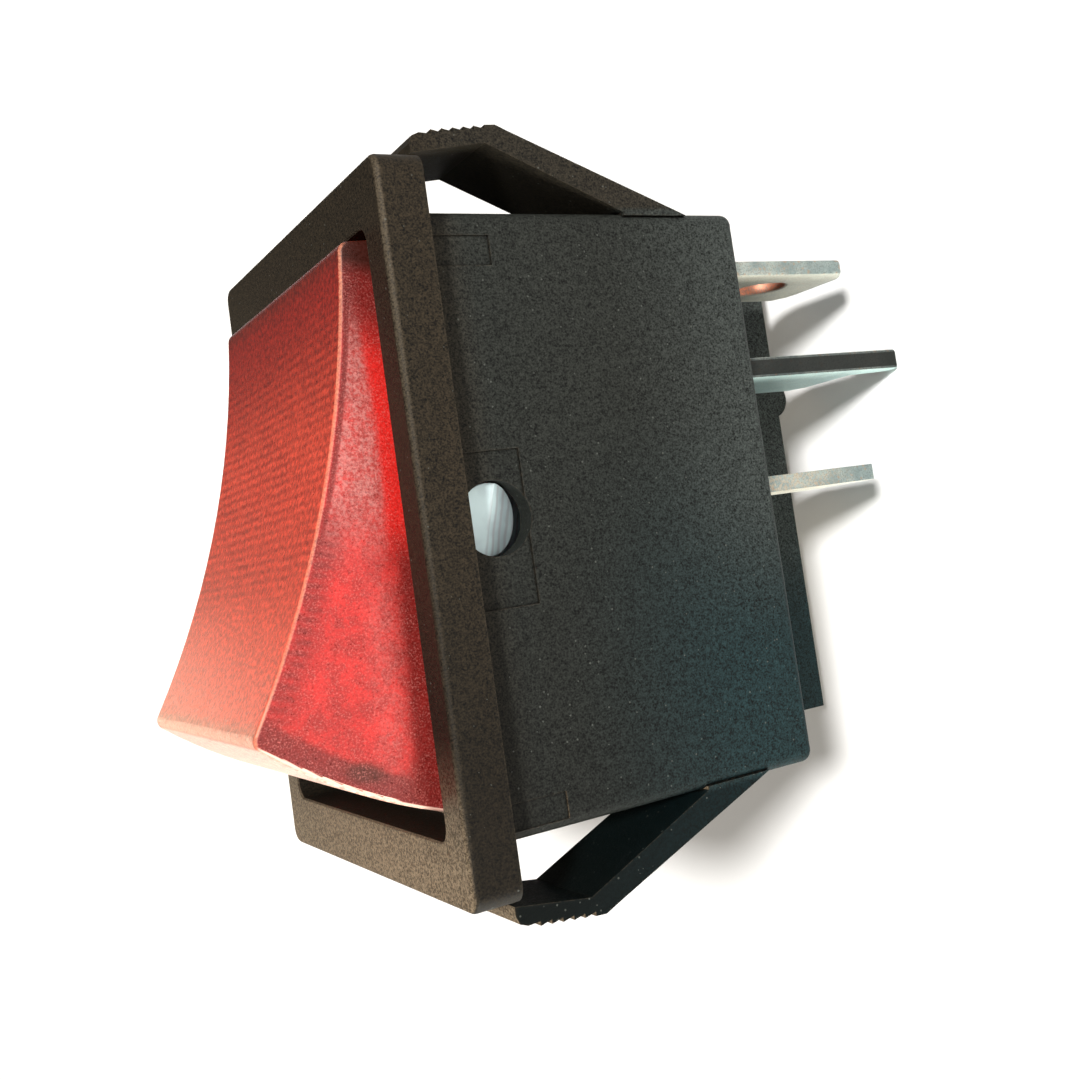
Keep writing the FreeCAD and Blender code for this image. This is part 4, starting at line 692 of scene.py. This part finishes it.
def lensMaterial(settings):
    material, tree, shader = newMaterial("redPolycarbonate")
    grain = addGrain(tree, settings)
    cloud = grain["Cloud"]
    zone = addGroup(tree, lensPlaceGroup(settings))
    along, depth = zone["Along"], zone["Depth"]
    surface = tree.nodes.new("ShaderNodeNewGeometry")
    flat = splitAxes(tree, surface.outputs["Normal"])
    sideways = sizeOf(tree, flat["X"])
    side = addRange(tree, sideways, 0.55, 0.80)
    patches = addNoise(tree, objectPlace(tree), settings["patchScale"], 3.0, 0.6)
    patches = addRange(tree, patches, 0.38, 0.62, smooth=True)

    # ridges moulded inside the front, a little uneven
    turn = times(tree, along, 2 * math.pi / settings["ridgePitch"])
    phase = plus(tree, turn, times(tree, cloud, 0.9))
    ridge = addRange(tree, addMath(tree, "SINE", phase), -0.6, 0.9)
    ridgeReach = times(tree, addBand(tree, along, *settings["ridgesAlong"]),
                       addRange(tree, cloud, 0.0, 1.0, 0.26, 0.50))

    front = lensFront(tree, settings, along, flat, ridge, ridgeReach)
    slope, middle = settings["rootLine"]
    rootLine = plus(tree, times(tree, along, slope), middle)
    flank = lensWalls(tree, settings, zone, phase, cloud, patches, rootLine)
    flank = lensFrost(tree, settings, zone, grain, rootLine, flank)

    # painted glints stand for light caught by fine scratches on the worn side
    sparkle = addNoise(tree, objectPlace(tree), settings["sparkleScale"], 1.0, 0.6)
    sparkle = times(tree, addRange(tree, sparkle, 0.50, 0.70), addRange(tree, patches, 0.0, 1.0, 0.16, 0.34))
    flank = mixColours(tree, sparkle, flank, settings["glint"])
    # painted shade darkens the side of the pressed end, sunk in the flange
    darkTop = addRange(tree, along, *settings["darkTop"], smooth=True)
    flank = mixColours(tree, darkTop, flank, settings["dark"])
    tone = mixColours(tree, side, front, flank)

    # fine grain
    fine = addRange(tree, grain["Height"], 0.38, 0.62, 0.72, 1.10)
    streaks = addNoise(tree, objectPlace(tree), settings["streakScale"], 2.0, 0.6)
    streaks = addRange(tree, streaks, 0.35, 0.65, 0.58, 1.40)
    shade = plus(tree, times(tree, side, fine), times(tree, minus(tree, 1.0, side), streaks))
    tone = shadeColour(tree, addRange(tree, cloud, 0.0, 1.0, 0.9, 1.0), tone, shade)

    # a painted highlight lies on the rounded long edge, and the corner round the lower end is dull with a
    # painted pale highlight
    rounded = times(tree, addRange(tree, sideways, 0.22, 0.45), addRange(tree, sideways, 0.97, 0.85),
                    addRange(tree, depth, 0.35, 0.15))
    broken = addRange(tree, grain["Height"], 0.40, 0.60, 0.35, 0.95)
    tone = mixColours(tree, times(tree, rounded, broken), tone, settings["edge"])
    corner = times(tree, addRange(tree, sizeOf(tree, flat["Y"]), 0.22, 0.45),
                   addRange(tree, along, *settings["cornerAlong"]), side)
    tone = mixColours(tree, corner, tone, settings["lip"])
    tree.links.new(tone, shader.inputs["Base Color"])
    gloss = addRange(tree, grain["Height"], 0.35, 0.65, *settings["roughness"])
    dull = times(tree, addMath(tree, "MAXIMUM", corner, rounded), 0.35)
    tree.links.new(plus(tree, gloss, dull), shader.inputs["Roughness"])
    shader.inputs["Transmission Weight"].default_value = settings["transmission"]
    shader.inputs["IOR"].default_value = settings["refraction"]
    relief = plus(tree, times(tree, grain["Height"], 0.7), times(tree, ridge, ridgeReach, 0.25))
    addBump(tree, shader, relief, settings["bumpStrength"], settings["bumpDepth"])

    # light from the lamps passes through the red plastic and is tinted by it
    ray = tree.nodes.new("ShaderNodeLightPath")
    through = tree.nodes.new("ShaderNodeBsdfTransparent")
    through.inputs["Color"].default_value = (*settings["shadowTint"], 1)
    mix = tree.nodes.new("ShaderNodeMixShader")
    output = tree.nodes["Material Output"]
    tree.links.new(ray.outputs["Is Shadow Ray"], mix.inputs["Fac"])
    tree.links.new(shader.outputs["BSDF"], mix.inputs[1])
    tree.links.new(through.outputs["BSDF"], mix.inputs[2])
    tree.links.new(mix.outputs["Shader"], output.inputs["Surface"])
    return material


dress(lensMaterial(lensSettings), "rocker_lens")
print("lens dressed")


# Plain mouldings and metal parts

plainSettings = {
    # name: darker colour, paler colour, roughness, metallic, pieces
    "acetal": ((0.62, 0.60, 0.54), (0.76, 0.74, 0.68), 0.4, 0.0, ("plunger_near", "plunger_far")),
    "springWire": ((0.42, 0.42, 0.41), (0.62, 0.62, 0.60), 0.3, 1.0,
                   ("plunger_spring_near", "plunger_spring_far", "lamp_spring_near", "lamp_spring_far")),
    "copperStrip": ((0.52, 0.25, 0.14), (0.78, 0.45, 0.28), 0.35, 1.0,
                    ("contact_bar_near", "contact_bar_far")),
    "silverButton": ((0.68, 0.68, 0.66), (0.86, 0.86, 0.84), 0.3, 1.0,
                     ("moving_contact_near", "moving_contact_far",
                      "fixed_contact_near", "fixed_contact_far")),
    "rivetBrass": ((0.55, 0.40, 0.17), (0.78, 0.62, 0.34), 0.35, 1.0, ("lamp_rivet_near", "lamp_rivet_far")),
    "leadWire": ((0.46, 0.44, 0.41), (0.66, 0.64, 0.60), 0.35, 1.0,
                 ("neon_lead_near", "neon_lead_far", "resistor_lead")),
    "resistorLacquer": ((0.58, 0.45, 0.28), (0.76, 0.62, 0.43), 0.3, 0.0, ("resistor_body",)),
    "lampGlass": ((0.80, 0.80, 0.78), (0.92, 0.92, 0.90), 0.1, 0.0, ("neon_lamp",)),
}

plainGrain = {
    "grainScale": 5000.0,
    "mottleScale": 1800.0,
    "cloudScale": 150.0,
    "bumpStrength": 0.5,
    "bumpDepth": 0.01,  # mm
}


def plainMaterial(name, settings, dark, light, roughness, metallic):
    material, tree, shader = newMaterial(name)
    grain = addGrain(tree, settings)
    tone = plus(tree, times(tree, grain["Cloud"], 0.6), times(tree, grain["Mottle"], 0.4))
    tree.links.new(mixColours(tree, tone, dark, light), shader.inputs["Base Color"])
    addRoughness(tree, shader, grain, (roughness - 0.06, roughness + 0.08))
    shader.inputs["Metallic"].default_value = metallic
    addBump(tree, shader, grain["Height"], settings["bumpStrength"], settings["bumpDepth"])
    return material


for name, (dark, light, roughness, metallic, nodes) in plainSettings.items():
    dress(plainMaterial(name, plainGrain, dark, light, roughness, metallic), *nodes)


# Carrier: white nylon, with painted shading bands on the trunnions

carrierSettings = {
    "shade": (0.50, 0.61, 0.63),
    "white": (0.66, 0.81, 0.82),
    "trunnionShade": (0.40, 0.38, 0.40),
    "bandPitch": 0.42,  # mm
    "bandReach": (-1.4, -1.8),  # mm
    "bandSlant": 0.25,
    "bandAmount": 0.55,
    "grainScale": 9000.0,
    "mottleScale": 3500.0,
    "cloudScale": 500.0,
    "roughness": (0.40, 0.56),
    "bumpStrength": 0.5,
    "bumpDepth": 0.01,  # mm
}


def carrierMaterial(settings):
    material, tree, shader = newMaterial("whiteNylon")
    grain = addGrain(tree, settings)
    place = splitAxes(tree, objectPlace(tree))
    tone = mixColours(tree, grain["Cloud"], settings["shade"], settings["white"])
    # painted shading bands on the slanted half of each trunnion
    slanted = plus(tree, place["Z"], times(tree, place["Y"], settings["bandSlant"]))
    turn = times(tree, slanted, 2 * math.pi / (settings["bandPitch"] * mm))
    wave = addMath(tree, "SINE", plus(tree, turn, times(tree, grain["Cloud"], 1.5)))
    shadingBands = times(tree, addRange(tree, wave, -0.2, 1.0, 0.0, settings["bandAmount"]),
                  softStep(tree, slanted, settings["bandReach"]))
    tree.links.new(mixColours(tree, shadingBands, tone, settings["trunnionShade"]), shader.inputs["Base Color"])
    addRoughness(tree, shader, grain, settings["roughness"])
    addBump(tree, shader, grain["Height"], settings["bumpStrength"], settings["bumpDepth"])
    return material


dress(carrierMaterial(carrierSettings), "carrier")


# Terminal blades: tarnished plating, worn at the edges

bladeSettings = {
    "plating": (0.22, 0.28, 0.27),
    "platingPale": (0.46, 0.51, 0.47),
    "under": (0.93, 0.92, 0.80),
    "underTeal": (0.60, 0.82, 0.80),
    "root": (0.60, 0.47, 0.33),
    "stain": (0.46, 0.26, 0.14),
    "grey": (0.15, 0.17, 0.18),
    "darkEdge": (0.017, 0.018, 0.016),
    "copper": (0.70, 0.25, 0.13),
    "grainScale": 13000.0,
    "mottleScale": 6000.0,
    "cloudScale": 700.0,
    "blotAmount": 0.85,
    "stainScale": 5000.0,
    "stainShare": 0.22,
    "stainWidth": 0.5,
    "stainAmount": 0.5,
    "underAmount": 0.85,
    "rootZ": (-23.6, -20.0),  # mm
    "eyeAcross": 6.15,  # mm
    "eyeHeight": -21.3,  # mm
    "eyeRim": (1.54, 1.42),  # mm
    "rounding": 0.18,  # mm
    "joinUnder": 0.002,  # mm
    "roundOver": 40,  # degrees
    "metallic": 0.75,
    "roughness": (0.47, 0.63),
    "bumpStrength": 0.6,
    "bumpDepth": 0.012,  # mm
}

bladeRows = [
    # kind, colour of the edges and how strong, painted light colour below, brown at the root, copper eye
    ("load", "plating", 0.3, "under", 0.2, True),
    ("common", "plating", 0.3, "under", 0.55, False),
    ("lamp", "darkEdge", 0.97, "underTeal", 0.0, False),
]


def bladeMaterial(name, settings, edgeColour, edgeAmount, underColour, rootStain, withEye):
    material, tree, shader = newMaterial(name)
    grain = addGrain(tree, settings)
    place = splitAxes(tree, objectPlace(tree))
    surface = tree.nodes.new("ShaderNodeNewGeometry")
    facing = splitAxes(tree, surface.outputs["True Normal"])
    tone = mixColours(tree, grain["Cloud"], settings["plating"], settings["platingPale"])
    blots = times(tree, addRange(tree, grain["Height"], 0.50, 0.60), settings["blotAmount"])
    tone = mixColours(tree, blots, tone, settings["grey"])
    stains = addGroup(tree, specks, Scale=settings["stainScale"], Share=settings["stainShare"],
                      Width=settings["stainWidth"])["Mask"]
    tone = mixColours(tree, times(tree, stains, settings["stainAmount"]), tone, settings["stain"])
    edge = addRange(tree, sizeOf(tree, facing["X"]), 0.85, 0.95, 0.0, edgeAmount)
    tone = mixColours(tree, edge, tone, settings[edgeColour])
    # painted light on the undersides
    litUnderside = times(tree, addRange(tree, facing["Y"], -0.80, -0.97, 0.0, settings["underAmount"]),
                  addRange(tree, grain["Height"], 0.35, 0.6, 1.0, 0.75))
    tone = mixColours(tree, litUnderside, tone, settings[underColour])
    browned = times(tree, evenStep(tree, place["Z"], settings["rootZ"], 0.0, rootStain),
                    addRange(tree, grain["Mottle"], 0.25, 0.75))
    tone = mixColours(tree, browned, tone, settings["root"])
    if withEye:
        across = minus(tree, sizeOf(tree, place["X"]), settings["eyeAcross"] * mm)
        down = minus(tree, place["Z"], settings["eyeHeight"] * mm)
        rim = times(tree, evenStep(tree, distance(tree, across, down), settings["eyeRim"]),
                    addRange(tree, grain["Height"], 0.42, 0.58, 1.0, 0.35))
        tone = mixColours(tree, rim, tone, settings["copper"])
    tree.links.new(tone, shader.inputs["Base Color"])
    shader.inputs["Metallic"].default_value = settings["metallic"]
    addRoughness(tree, shader, grain, settings["roughness"])
    addBump(tree, shader, grain["Height"], settings["bumpStrength"], settings["bumpDepth"])
    return material


def roundEdges(blade, settings):
    joined = blade.modifiers.new("joined", "WELD")
    joined.merge_threshold = settings["joinUnder"] * mm
    rounding = blade.modifiers.new("rounding", "BEVEL")
    rounding.width = settings["rounding"] * mm
    rounding.segments = 2
    rounding.limit_method = "ANGLE"
    rounding.angle_limit = math.radians(settings["roundOver"])


for kind, *looks in bladeRows:
    blades = [f"{kind}_terminal_{side}" for side in ("near", "far")]
    dress(bladeMaterial(f"{kind}BladePlating", bladeSettings, *looks), *blades)
    for blade in blades:
        roundEdges(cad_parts[blade], bladeSettings)
print("inner pieces and blades dressed")
